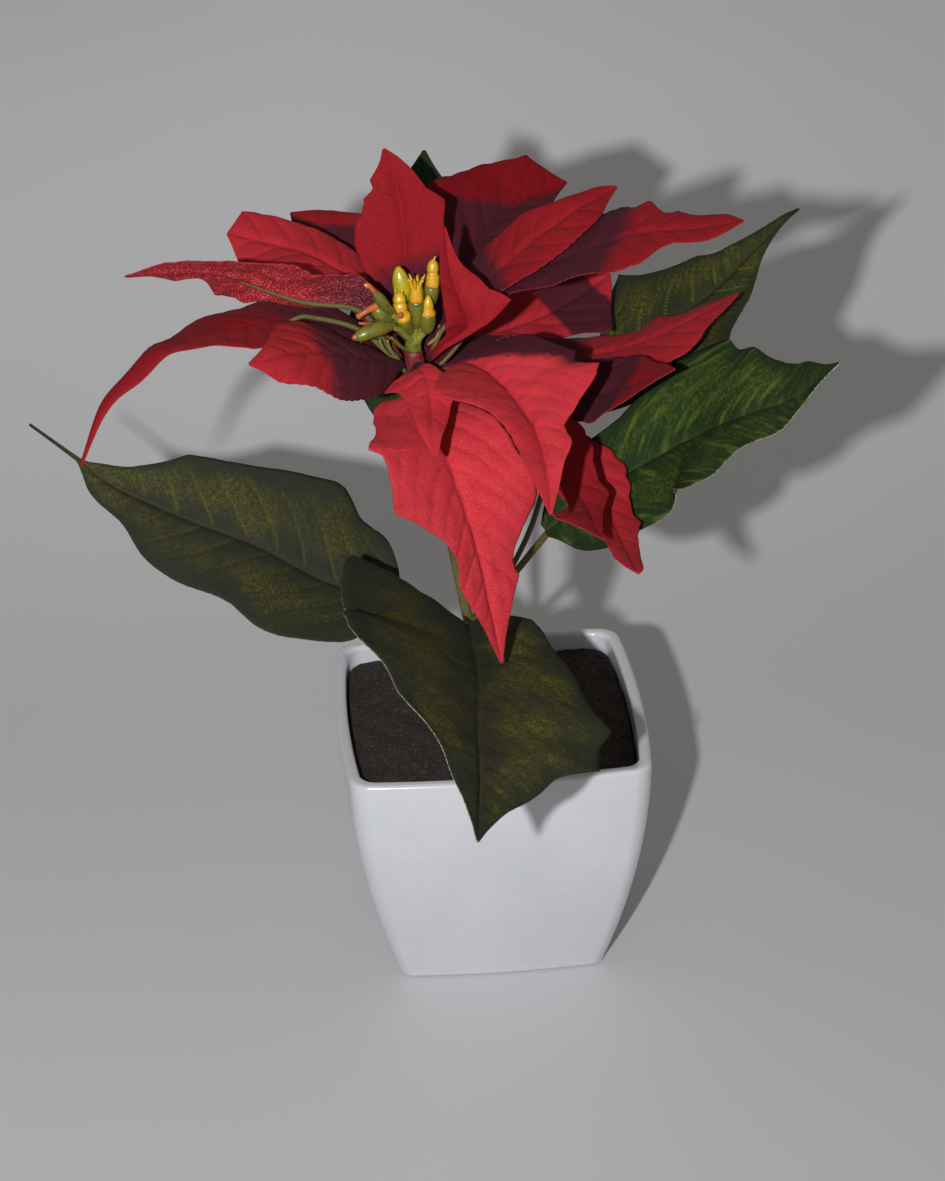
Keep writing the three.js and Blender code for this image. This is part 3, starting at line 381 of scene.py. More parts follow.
        face=(0, -0.4, 1), roll=(-15, -12, 3), fold=(7,), stain=(0.4, 0.1, 0.0), band=(0.7, 0.95),
        tone=(0.5, 0.5),
        right=[(0.08, 1.2), (0.3, 7), (0.5, 11), (0.7, 12.5), (0.84, 18, TOOTH), (0.93, 7.5), (0.97, 4)],
        left=[(0.08, 1.2), (0.3, 8), (0.5, 14), (0.7, 13), (0.85, 8), (0.94, 4)],
    ),
}


# ------------------------------------------------------------------ curves, margins, grain


class Curve:
    """A smooth curve through points, read by the share of its length."""

    def __init__(self, points: Points, fine: int = 40) -> None:
        """Lays a centripetal curve through the points.

        Args:
            points: the points, in any unit.
            fine: steps between one point and the next.
        """
        given = np.asarray(points, float)
        ends = np.vstack([2 * given[0] - given[1], given, 2 * given[-1] - given[-2]])
        share = np.linspace(0, 1, fine, endpoint=False)[:, None]
        runs = []
        for k in range(len(given) - 1):
            a, b, c, d = ends[k : k + 4]
            pairs = ((a, b), (b, c), (c, d))
            u, v, w = (max(math.sqrt(float(np.linalg.norm(q - p))), 1e-4) for p, q in pairs)
            leave = ((b - a) / u - (c - a) / (u + v) + (c - b) / v) * v
            arrive = ((c - b) / v - (d - b) / (v + w) + (d - c) / w) * v
            cubic = 2 * b - 2 * c + leave + arrive
            square = -3 * b + 3 * c - 2 * leave - arrive
            runs.append(b + leave * share + square * share**2 + cubic * share**3)
        self.points = np.vstack([*runs, given[-1:]])
        steps = np.linalg.norm(np.diff(self.points, axis=0), axis=1)
        self.reach = np.concatenate([[0.0], np.cumsum(steps)])
        self.length = float(self.reach[-1])

    def at(self, shares: np.ndarray) -> np.ndarray:
        """Points at these shares of the length."""
        place = np.clip(shares, 0, 1) * self.length
        return np.stack([np.interp(place, self.reach, self.points[:, k]) for k in range(3)], -1)

    def along(self, shares: np.ndarray) -> np.ndarray:
        """Unit directions of the curve at these shares."""
        way = self.at(np.clip(shares + 0.004, 0, 1)) - self.at(np.clip(shares - 0.004, 0, 1))
        return way / np.linalg.norm(way, axis=-1, keepdims=True)


class Profile:
    """A smooth reading of [place, value] points that never swings past them, broken at teeth."""

    def __init__(self, points: Points) -> None:
        """Works out the slopes on both sides of each point.

        Args:
            points: place, value and, for a sharp corner, TOOTH.
        """
        self.place = np.array([p[0] for p in points], float)
        self.value = np.array([p[1] for p in points], float)
        run, rise = np.diff(self.place), np.diff(self.value) / np.diff(self.place)
        self.leave, self.arrive = np.zeros(len(points)), np.zeros(len(points))
        for k, point in enumerate(points):
            sharp = len(point) > 2
            if k in (0, len(points) - 1):
                slope = rise[0] if k == 0 else rise[-1]
            elif rise[k - 1] * rise[k] <= 0:
                slope = 0.0
            else:
                before, after = 2 * run[k] + run[k - 1], run[k] + 2 * run[k - 1]
                slope = (before + after) / (before / rise[k - 1] + after / rise[k])
            self.leave[k] = rise[min(k, len(rise) - 1)] if sharp else slope
            self.arrive[k] = rise[max(k - 1, 0)] if sharp else slope

    def at(self, places: np.ndarray) -> np.ndarray:
        """Reads the curve.

        Args:
            places: where to read it.

        Returns:
            The values there.
        """
        k = np.clip(np.searchsorted(self.place, places, "right") - 1, 0, len(self.place) - 2)
        run = self.place[k + 1] - self.place[k]
        s = np.clip((places - self.place[k]) / run, 0, 1)
        first = (2 * s**3 - 3 * s**2 + 1) * self.value[k] + (s**3 - 2 * s**2 + s) * run * self.leave[k]
        return first + (3 * s**2 - 2 * s**3) * self.value[k + 1] + (s**3 - s**2) * run * self.arrive[k + 1]


class Grain:
    """Smooth random variation in space, the same on every run."""

    def __init__(self, seed: int) -> None:
        """Fills the table of random values from the seed."""
        self.table = np.random.default_rng(seed).random(4096) * 2 - 1

    def at(self, points: np.ndarray, size: float) -> np.ndarray:
        """Values from -1 to 1.

        Args:
            points: places, last axis three numbers.
            size: the size of one lump, in the points' unit.

        Returns:
            One value for each point.
        """
        cell = np.floor(points / size).astype(np.int64)
        part = points / size - cell
        part = part * part * (3 - 2 * part)
        total = np.zeros(points.shape[:-1])
        for dx in (0, 1):
            for dy in (0, 1):
                for dz in (0, 1):
                    x, y, z = (cell[..., k] + d for k, d in enumerate((dx, dy, dz)))
                    mixed = x * 73856093 ^ y * 19349663 ^ z * 83492791
                    wx, wy, wz = (np.abs(1 - d - part[..., k]) for k, d in enumerate((dx, dy, dz)))
                    total += self.table[mixed & (len(self.table) - 1)] * (wx * wy * wz)
        return total


def unit(vectors: np.ndarray) -> np.ndarray:
    """Vectors with length one."""
    return vectors / np.maximum(np.linalg.norm(vectors, axis=-1, keepdims=True), 1e-12)


def shade(red: float, green: float, blue: float) -> Colour:
    """Makes a colour as the shaders want it.

    Args:
        red: display number, 0 to 255.
        green: display number, 0 to 255.
        blue: display number, 0 to 255.

    Returns:
        The linear colour.
    """
    parts = (red, green, blue)
    linear = [v / 255 / 12.92 if v <= 10.3 else ((v / 255 + 0.055) / 1.055) ** 2.4 for v in parts]
    return (linear[0], linear[1], linear[2], 1.0)


# ------------------------------------------------------------------ shader expressions


class Signal:
    """A value on its way through a material; Python arithmetic on it adds Math nodes."""

    def __init__(self, graph: "Graph", socket: bpy.types.NodeSocket) -> None:
        """Keeps the output socket that holds the value."""
        self.graph, self.socket = graph, socket

    def _math(self, operation: str, first: Any, second: Any) -> "Signal":
        """One Math node on two values or signals."""
        return self.graph.make("ShaderNodeMath", {"operation": operation}, {0: first, 1: second})

    def __add__(self, other: Any) -> "Signal":
        """self + other."""
        return self._math("ADD", self, other)

    __radd__ = __add__

    def __sub__(self, other: Any) -> "Signal":
        """self - other."""
        return self._math("SUBTRACT", self, other)

    def __rsub__(self, other: Any) -> "Signal":
        """other - self."""
        return self._math("SUBTRACT", other, self)

    def __mul__(self, other: Any) -> "Signal":
        """self * other."""
        return self._math("MULTIPLY", self, other)

    __rmul__ = __mul__

    def __pow__(self, other: Any) -> "Signal":
        """self raised to other."""
        return self._math("POWER", self, other)

    def least(self, other: Any) -> "Signal":
        """The smaller of the two."""
        return self._math("MINIMUM", self, other)

    def most(self, other: Any) -> "Signal":
        """The larger of the two."""
        return self._math("MAXIMUM", self, other)

    def step(self, low: float, high: float) -> "Signal":
        """A smooth step from 0 at low to 1 at high."""
        sockets = {"Value": self, "From Min": low, "From Max": high}
        return self.graph.make("ShaderNodeMapRange", {"interpolation_type": "SMOOTHSTEP"}, sockets)


class Graph:
    """The nodes of one material."""

    def __init__(self, name: str) -> None:
        """Starts an empty material.

        Args:
            name: the material's name.
        """
        self.material = bpy.data.materials.new(name)
        self.material.use_nodes = True
        self.tree = self.material.node_tree
        self.tree.nodes.clear()

    def make(self, kind: str, settings: dict[str, Any], sockets: dict[Any, Any], output: Any = 0) -> Signal:
        """Adds one node.

        Args:
            kind: the node's type.
            settings: its own settings, set first.
            sockets: input name or number against a value or a signal.
            output: the output wanted, by name or number.

        Returns:
            The signal of that output.
        """
        node = self.tree.nodes.new(kind)
        for key, value in settings.items():
            setattr(node, key, value)
        for key, value in sockets.items():
            if isinstance(value, Signal):
                self.tree.links.new(value.socket, node.inputs[key])
            else:
                node.inputs[key].default_value = value
        return Signal(self, node.outputs[output])

    def place(self) -> Signal:
        """The place on the object, in metres."""
        return self.make("ShaderNodeTexCoord", {}, {}, "Object")

    def read(self, name: str, output: str = "Fac") -> Signal:
        """A value that the mesh carries."""
        return self.make("ShaderNodeAttribute", {"attribute_name": name}, {}, output)

    def noise(self, scale: float, detail: float, rough: float, at: Signal | None = None) -> Signal:
        """Cloudy variation about 0.5.

        Args:
            scale: lumps in a metre.
            detail: layers of finer lumps.
            rough: strength of the finer lumps.
            at: where to read it; the place on the object if left out.

        Returns:
            The value.
        """
        sockets = {"Vector": at or self.place(), "Scale": scale, "Detail": detail, "Roughness": rough}
        return self.make("ShaderNodeTexNoise", {}, sockets)

    def cells(self, scale: float, feature: str = "F1", at: Signal | None = None) -> Signal:
        """Distances in a net of cells: to a cell's middle, or to its border."""
        sockets = {"Vector": at or self.place(), "Scale": scale}
        return self.make("ShaderNodeTexVoronoi", {"feature": feature}, sockets, "Distance")

    def vector(self, operation: str, sockets: dict[Any, Any]) -> Signal:
        """One node of vector arithmetic."""
        return self.make("ShaderNodeVectorMath", {"operation": operation}, sockets, "Vector")

    def twist(self, scale: float, reach: float) -> Signal:
        """A wandering offset, to bend a pattern that is too even.

        Args:
            scale: lumps in a metre.
            reach: how far it wanders, in metres.

        Returns:
            The offset.
        """
        sockets = {"Vector": self.place(), "Scale": scale, "Detail": 2.0}
        drift = self.make("ShaderNodeTexNoise", {}, sockets, "Color")
        centred = self.vector("SUBTRACT", {0: drift, 1: (0.5, 0.5, 0.5)})
        return self.vector("SCALE", {0: centred, "Scale": 2 * reach})

    def stretch(self, source: Signal, factors: tuple[float, float, float]) -> Signal:
        """A place multiplied by three factors."""
        return self.vector("MULTIPLY", {0: source, 1: factors})

    def mix(self, share: Any, first: Any, second: Any) -> Signal:
        """A colour between two colours."""
        return self.make("ShaderNodeMix", {"data_type": "RGBA"}, {0: share, 6: first, 7: second}, 2)

    def bump(self, height: Signal, depth: float, strength: float) -> Signal:
        """A normal roughened by a height of this depth in metres."""
        sockets = {"Height": height, "Distance": depth, "Strength": strength}
        return self.make("ShaderNodeBump", {}, sockets, "Normal")

    def surface(self, colour: Signal, roughness: Signal, normal: Signal, **constants: float) -> Material:
        """Closes the material with its surface shader.

        Args:
            colour: the base colour.
            roughness: the roughness.
            normal: the bumped normal.
            constants: other sockets, named with _ for a blank, that stay the same all over.

        Returns:
            The finished material.
        """
        sockets: dict[Any, Any] = {"Base Color": colour, "Roughness": roughness, "Normal": normal}
        for key, value in constants.items():
            sockets[key.replace("_", " ").title().replace("Ior", "IOR")] = value
        shader = self.make("ShaderNodeBsdfPrincipled", {}, sockets, "BSDF")
        end = self.tree.nodes.new("ShaderNodeOutputMaterial")
        self.tree.links.new(shader.socket, end.inputs["Surface"])
        return self.material


# ------------------------------------------------------------------ finishes


@dataclass(frozen=True)
class BractFinish:
    """Dyed velvety cloth: red, with a dark purple stain sprayed on from the stalk.

    Its colour also holds painted shade and light for each half, painted glints, and painted shade
    in the vein grooves and in the hollows of the weave.
    """

    name: str = "bract_cloth"
    red: Colour = shade(202, 52, 61)
    deep: Colour = shade(184, 40, 49)
    # dark: deep dye red, and also painted shade where tone is high. The brighter red after it is painted
    # light.
    dark: Colour = shade(106, 8, 15)
    painted_light_red: Colour = shade(236, 84, 90)
    purple: Colour = shade(70, 24, 35)
    # Pale pink painted glints, and the strength of the fine painted glints in the weave.
    painted_glint_pink: Colour = shade(236, 120, 128)
    painted_sparkle: float = 0.16

    def material(self) -> Material:
        """Builds the material.

        Returns:
            The material.
        """
        g = Graph(self.name)
        cloud, fine, weave = g.noise(90, 3, 0.55), g.noise(420, 3, 0.6), g.noise(3200, 1, 0.5)
        vein = g.read("vein")
        stain = (g.read("stain") + (cloud - 0.5) * 0.34 + (fine - 0.5) * 0.3).step(0.3, 0.7)
        base = g.mix((cloud * 1.6 - 0.3).step(0.0, 1.0), self.deep, self.red)
        # Painted shade along the pressed vein grooves.
        base = g.mix(vein * 0.3, base, self.deep)
        # Tone mixes in the dark red, part dye and part painted shade; below 0 it mixes in painted light.
        tone = g.read("tone")
        base = g.mix((tone + (cloud - 0.5) * 0.2).most(0.0), base, self.dark)
        base = g.mix((0 - tone).most(0.0), base, self.painted_light_red)
        base = g.mix(stain, base, self.purple)
        # Painted highlights: fine glints in the weave, fewer on stained or dark parts, plus each blade's
        # own glints.
        fine_painted_glints = weave.step(0.52, 0.74) * self.painted_sparkle * (1 - stain * 0.85) * (1 - tone.most(0.0) * 0.8)
        painted_glint = g.noise(2600, 2, 0.6).step(0.48, 0.68) * g.read("painted_glint") + fine_painted_glints
        base = g.mix(painted_glint.least(1.0), base, self.painted_glint_pink)
        # Painted shade in the low hollows of the weave.
        base = g.mix((1 - weave).step(0.56, 0.8) * 0.3, base, g.mix(0.6, base, shade(20, 2, 6)))
        height = weave * 0.6 + fine * 0.4 - vein * 0.5
        nap = {"sheen_weight": 0.01, "sheen_roughness": 0.5, "specular_ior_level": 0.07}
        return g.surface(base, 0.92 - weave * 0.2, g.bump(height, 0.00022, 0.7), **nap)


@dataclass(frozen=True)
class LeafFinish:
    """Dark printed leaf cloth with a yellow-green crackle between the veins."""

    name: str
    dark: Colour
    mottle: Colour
    amount: float = 0.7
    line: Colour = shade(86, 70, 36)
    web: float = 1.0
    thread: float = 0.3
    streaks: float = 0.0
    flowing: float = 0.9

    def material(self) -> Material:
        """Builds the material.

        Returns:
            The material.
        """
        g = Graph(self.name)
        flow = g.read("flow", "Vector")
        streak = g.noise(1.0, 3, 0.6, g.stretch(flow, (620, 110, 1)))
        blotch = g.noise(70, 3, 0.6)
        net = g.cells(1150, "DISTANCE_TO_EDGE", g.vector("ADD", {0: g.place(), 1: g.twist(260, 0.0016)}))
        crackle = 1 - net.step(0.02, 0.2)
        fine = g.noise(1500, 2, 0.6)
        vein, rib = g.read("vein"), g.read("rib")
        zone = g.read("zone")
        patch = (streak * self.flowing + blotch * (1.4 - self.flowing) + zone * 0.3).step(0.72, 1.12)
        speck = g.noise(1050, 3, 0.75).step(0.44, 0.62)
        lines = patch * (crackle * 0.45 * self.web + speck * 0.62 + 0.05) * self.amount
        base = g.mix(blotch.step(0.3, 0.7) * 0.4, self.dark, g.mix(0.55, self.dark, shade(16, 30, 20)))
        base = g.mix(lines.least(1.0), base, self.mottle)
        if self.streaks:
            band = g.noise(1.0, 3, 0.6, g.stretch(flow, (260, 120, 1))).step(0.5, 0.68)
            base = g.mix(band * self.streaks, base, self.mottle)
        base = g.mix(vein.step(0.35, 0.95) * self.thread, base, self.mottle)
        base = g.mix(rib**2.0 * 0.3, base, self.line)
        height = fine * 0.5 + crackle * 0.5 - vein * 0.4
        return g.surface(base, 0.66 + fine * 0.2, g.bump(height, 0.0002, 0.6), specular_ior_level=0.16)


@dataclass(frozen=True)
class EdgeFinish:
    """The cut edge of the cloth, where its pale core shows."""

    name: str
    pale: Colour
    dull: Colour

    def material(self) -> Material:
        """Builds the material.

        Returns:
            The material.
        """
        g = Graph(self.name)
        fray = g.noise(1800, 2, 0.6)
        base = g.mix(fray.step(0.4, 0.65), self.pale, self.dull)
        return g.surface(base, 0.8 + fray * 0.15, g.bump(fray, 0.0001, 0.5), specular_ior_level=0.2)


@dataclass(frozen=True)
class StalkFinish:
    """Moulded plastic stalk with streaks along it and browner patches."""

    name: str
    green: Colour
    brown: Colour

    def material(self) -> Material:
        """Builds the material.

        Returns:
            The material.
        """
        g = Graph(self.name)
        streak = g.noise(1.0, 3, 0.6, g.stretch(g.place(), (900, 900, 130)))
        patch, fine = g.noise(110, 3, 0.6), g.noise(1600, 2, 0.5)
        base = g.mix((patch * 0.7 + streak * 0.5).step(0.45, 0.8), self.green, self.brown)
        base = g.mix(fine.step(0.55, 0.75) * 0.25, base, shade(150, 150, 90))
        normal = g.bump(streak * 0.7 + fine * 0.3, 0.00025, 0.6)
        return g.surface(base, 0.38 + streak * 0.25, normal, specular_ior_level=0.45)


@dataclass(frozen=True)
class WaxyFinish:
    """Glossy moulded flower parts, shaded between two colours."""

    name: str
    body: Colour
    other: Colour
    gloss: float = 0.22

    def material(self) -> Material:
        """Builds the material.

        Returns:
            The material.
        """
        g = Graph(self.name)
        patch, fine = g.noise(330, 3, 0.6), g.noise(2600, 2, 0.5)
        base = g.mix(patch.step(0.38, 0.66), self.body, self.other)
        base = g.mix(fine.step(0.6, 0.8) * 0.2, base, shade(245, 230, 150))
        wax = {"coat_weight": 0.35, "coat_roughness": 0.12, "specular_ior_level": 0.5}
        return g.surface(base, self.gloss + patch * 0.2, g.bump(fine, 0.00012, 0.5), **wax)


@dataclass(frozen=True)
class GlazeFinish:
    """White glaze: faint waviness, a touch of unevenness in its tint."""

    name: str = "white_glaze"
    white: Colour = shade(203, 205, 210)
    thin: Colour = shade(196, 199, 204)

    def material(self) -> Material:
        """Builds the material.

        Returns:
            The material.
        """
        g = Graph(self.name)
        wave, fine = g.noise(38, 2, 0.5), g.noise(420, 3, 0.6)
        base = g.mix((wave * 0.7 + fine * 0.3).step(0.35, 0.65), self.white, self.thin)
        base = g.mix(g.cells(520).step(0.03, 0.055) * -0.12 + 0.12, base, shade(160, 162, 164))
        coat = {"coat_weight": 0.6, "coat_roughness": 0.06, "specular_ior_level": 0.5}
        return g.surface(base, 0.16 + fine * 0.08, g.bump(wave + fine * 0.05, 0.0006, 0.35), **coat)


@dataclass(frozen=True)
class SoilFinish:
    """Dark granular filling with scattered paler grains."""

    name: str = "dark_soil"
    dark: Colour = shade(58, 50, 47)
    pale: Colour = shade(118, 108, 98)

    def material(self) -> Material:
        """Builds the material.

        Returns:
            The material.
        """
        g = Graph(self.name)
        patch, grain = g.noise(240, 3, 0.65), g.noise(1150, 3, 0.75)
        base = g.mix(patch.step(0.35, 0.7), g.mix(0.35, self.dark, shade(16, 13, 12)), self.dark)
        base = g.mix(grain.step(0.56, 0.7) * 0.75, base, self.pale)
        normal = g.bump(grain + patch * 0.5, 0.0008, 0.9)
        return g.surface(base, 0.85 + grain * 0.12, normal, specular_ior_level=0.25)


@dataclass(frozen=True)
class FloorFinish:
    """Plain pale studio sheet with a soft gloss."""

    name: str = "studio_sheet"
    grey: Colour = shade(205, 205, 207)

    def material(self) -> Material:
        """Builds the material.

        Returns:
            The material.
        """
        g = Graph(self.name)
        patch, fine = g.noise(4, 3, 0.5), g.noise(900, 2, 0.5)
        base = g.mix(patch.step(0.3, 0.7) * 0.5, self.grey, shade(200, 200, 203))
        return g.surface(base, 0.42 + patch * 0.06, g.bump(fine, 0.0001, 0.2), specular_ior_level=0.3)


# ------------------------------------------------------------------ meshes


@dataclass
class Body:
    """Points and faces of one piece, gathered bit by bit."""

    points: list[np.ndarray] = field(default_factory=list)
    faces: list[tuple[int, ...]] = field(default_factory=list)
    paints: list[int] = field(default_factory=list)
    smooth: list[bool] = field(default_factory=list)
    values: dict[str, list[np.ndarray]] = field(default_factory=dict)
    count: int = 0

    def add(self, points: np.ndarray, **values: np.ndarray) -> int:
        """Adds points.

        Args:
            points: rows of three numbers, in millimetres.
            values: what each point carries, by name.

        Returns:
            The number of the first one.
        """
        first = self.count
        flat = np.asarray(points, float).reshape(-1, 3)
        self.points.append(flat)
        for name, value in values.items():
            self.values.setdefault(name, []).append(np.asarray(value, float).reshape(len(flat), -1))
        self.count += len(flat)
        return first

    def face(self, corners: tuple[int, ...], paint: int = 0, smooth: bool = True) -> None:
        """Adds one face.

        Args:
            corners: numbers of its points, counter-clockwise from outside.
            paint: which material.
            smooth: whether it shades into its neighbours.
        """
        self.faces.append(corners)
        self.paints.append(paint)
        self.smooth.append(smooth)

    def grid(
        self, first: int, rows: int, columns: int, flip: bool = False, wrap: bool = False, paint: int = 0
    ) -> None:
        """Joins rows of points into faces.

        Args:
            first: number of the first point.
            rows: how many rows.
            columns: points in a row.
            flip: turns the faces over.
            wrap: joins the last column to the first.
            paint: which material.
        """
        for i in range(rows - 1):
            for j in range(columns if wrap else columns - 1):
                k = (j + 1) % columns
                a, b = first + i * columns + j, first + i * columns + k
                c, d = first + (i + 1) * columns + k, first + (i + 1) * columns + j
                self.face((d, c, b, a) if flip else (a, b, c, d), paint)

    def skin(self, rings: Sequence[np.ndarray], start: Any, end: Any, paint: int = 0) -> None:
        """Joins rings of points into a closed form.

        Args:
            rings: the rings, each with the same count of points.
            start: the middle of the cap on the first ring.
            end: the middle of the cap on the last ring.
            paint: which material.
        """
        around = len(rings[0])
        first = self.add(np.vstack(rings))
        self.grid(first, len(rings), around, wrap=True, paint=paint)
        near, far = self.add(start), self.add(end)
        last = first + (len(rings) - 1) * around
        for k in range(around):
            n = (k + 1) % around
            self.face((first + n, first + k, near), paint)
            self.face((last + k, last + n, far), paint)

    def object(self, name: str, materials: Sequence[Material]) -> Piece:
        """Makes the object.

        Args:
            name: the piece's name.
            materials: its materials, in the order that paint counts them.

        Returns:
            The object, riding on the part's one body.
        """
        mesh = bpy.data.meshes.new(name)
        mesh.from_pydata((np.vstack(self.points) * MM).tolist(), [], self.faces)
        for material in materials:
            mesh.materials.append(material)
        mesh.polygons.foreach_set("material_index", self.paints)
        mesh.polygons.foreach_set("use_smooth", self.smooth)
        for key, parts in self.values.items():
            value = np.vstack(parts)
            kind, field_name = ("FLOAT_VECTOR", "vector") if value.shape[1] == 3 else ("FLOAT", "value")
            layer = mesh.attributes.new(key, kind, "POINT")
            layer.data.foreach_set(field_name, value.astype(np.float32).ravel())
        mesh.validate()
        mesh.update()
        piece = bpy.data.objects.new(name, mesh)
        bpy.context.scene.collection.objects.link(piece)
        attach(piece, "root")
        return piece


def tube(
    body: Body, path: Points, sizes: Points, sides: int, steps: int,
    paint: int = 0, lobes: int = 0, depth: float = 0.0, squash: float = 1.0,
) -> None:
    """Adds a round bar along a curve, closed at both ends.

    Args:
        body: what it is added to.
        path: points of its middle line, in millimetres.
        sizes: [share of the length, radius] points.
        sides: points round it.
        steps: rings along it.
        paint: which material.
        lobes: how many ridges run along it.
        depth: how deep the furrows between them are, as a share of the radius.
        squash: thickness as a share of the width.
    """
    curve = Curve(path)
    reading = Profile(sizes)
    shares = np.unique(np.concatenate([np.linspace(0, 1, steps + 1), reading.place]))
    centres, ways, radii = curve.at(shares), curve.along(shares), reading.at(shares)
    across = np.cross(ways[0], (0, 0, 1) if abs(ways[0][2]) < 0.9 else (1, 0, 0))
    angles = np.linspace(0, 2 * math.pi, sides, endpoint=False)
    form = 1 - depth * (0.5 - 0.5 * np.cos(lobes * angles)) if lobes else np.ones(sides)
    rings = []
    for centre, way, radius in zip(centres, ways, radii):
        across = unit(across - way * float(across @ way))
        beside = np.cross(way, across)
        ring = np.outer(np.cos(angles) * form, across) + np.outer(np.sin(angles) * form * squash, beside)
        rings.append(centre + ring * radius)
    body.skin(rings, centres[:1], centres[-1:], paint)


# ------------------------------------------------------------------ blades


# Small forms of the cloth, in millimetres or as shares of the blade's length.
ROOT_HALF, TIP_HALF, LEAST_HALF, PLAIN_HALF = 0.8, 0.4, 0.3, 3  # half widths
CROWDING = 1.12  # columns of points stand closer together near the midrib
WANDER_SIZE, FRAY_SIZE, FRAY_DEPTH = 9.0, 0.9, 0.07  # of the margin's scallops
LEFT_PHASE = 2  # the left margin's waves run ahead of the right's
DRIFTS = ((22.0, 1.6), (8.0, 0.5))  # lumps that bend the veins: size and reach
VEINS_APART = 0.3  # the right half's veins start this share of a spacing further on
VEIN_SLANT = 0.82  # a slanting vein is this much narrower than it is long along the midrib
RIB_GROOVE_HALF = 0.8
SHOULDER_PLACE, SHOULDER_HALF, SHOULDER_RISE = 2.2, 1.2, 0.22  # the swelling beside the midrib
CREASE_SIZES, CREASE_STRETCH, FINE_CREASE = (5.0, 2.1), (0.8, 1.0, 1.0), 0.45
MIDRIB_FADE, MARGIN_FADE = 1.5, 5  # the relief begins this far out and dies with this power
# Widths of a half blade from which puffs, creases, the midrib's groove and the shoulder are full.
PUFF_WIDTH, CREASE_WIDTH, RIB_WIDTH, SHOULDER_WIDTH = 9, 8, 5, 6
RIB_FADE, ZONE_FADES = 6, (5, 4)  # how fast these end towards the stalk and the tip
BAND_SOFTNESS = 0.05
SIDE_MARKS = (3.0, 7.0)  # keep the pattern of one half apart from the other's
CLOTH_HALF, CLOTH_THINNING = 0.2, 0.08  # half thickness, and how much less it is at the margin
TONE_BLEND = 2.5  # how fast one half's tone gives way to the other's across the midrib


@dataclass(frozen=True)
class VeinPattern:
    """How a blade's veins are pressed into the cloth, in millimetres."""

    spacing: float = 8.2
    lean: float = 0.68
    curl: float = 0.034
    groove: float = 0.24
    width: float = 0.62
    puff: float = 0.21
    rib_groove: float = 0.3
    crease: float = 0.25
    scallop: float = 0.3
    scallop_length: float = 4.6


@dataclass(frozen=True)
class RibForm:
    """How a moulded rib tapers and how far it lies off the cloth, in millimetres or as shares."""

    stalk_start: float = 0.03
    places: int = 26
    taper: float = 0.7
    fullness: float = 0.85
    tip: float = 0.16
    drop: float = 0.46
    end: float = 0.12
    sides: int = 12
    rings: int = 60


class Kind(Enum):
    """What a blade is."""

    BRACT = "bract"
    LEAF = "leaf"


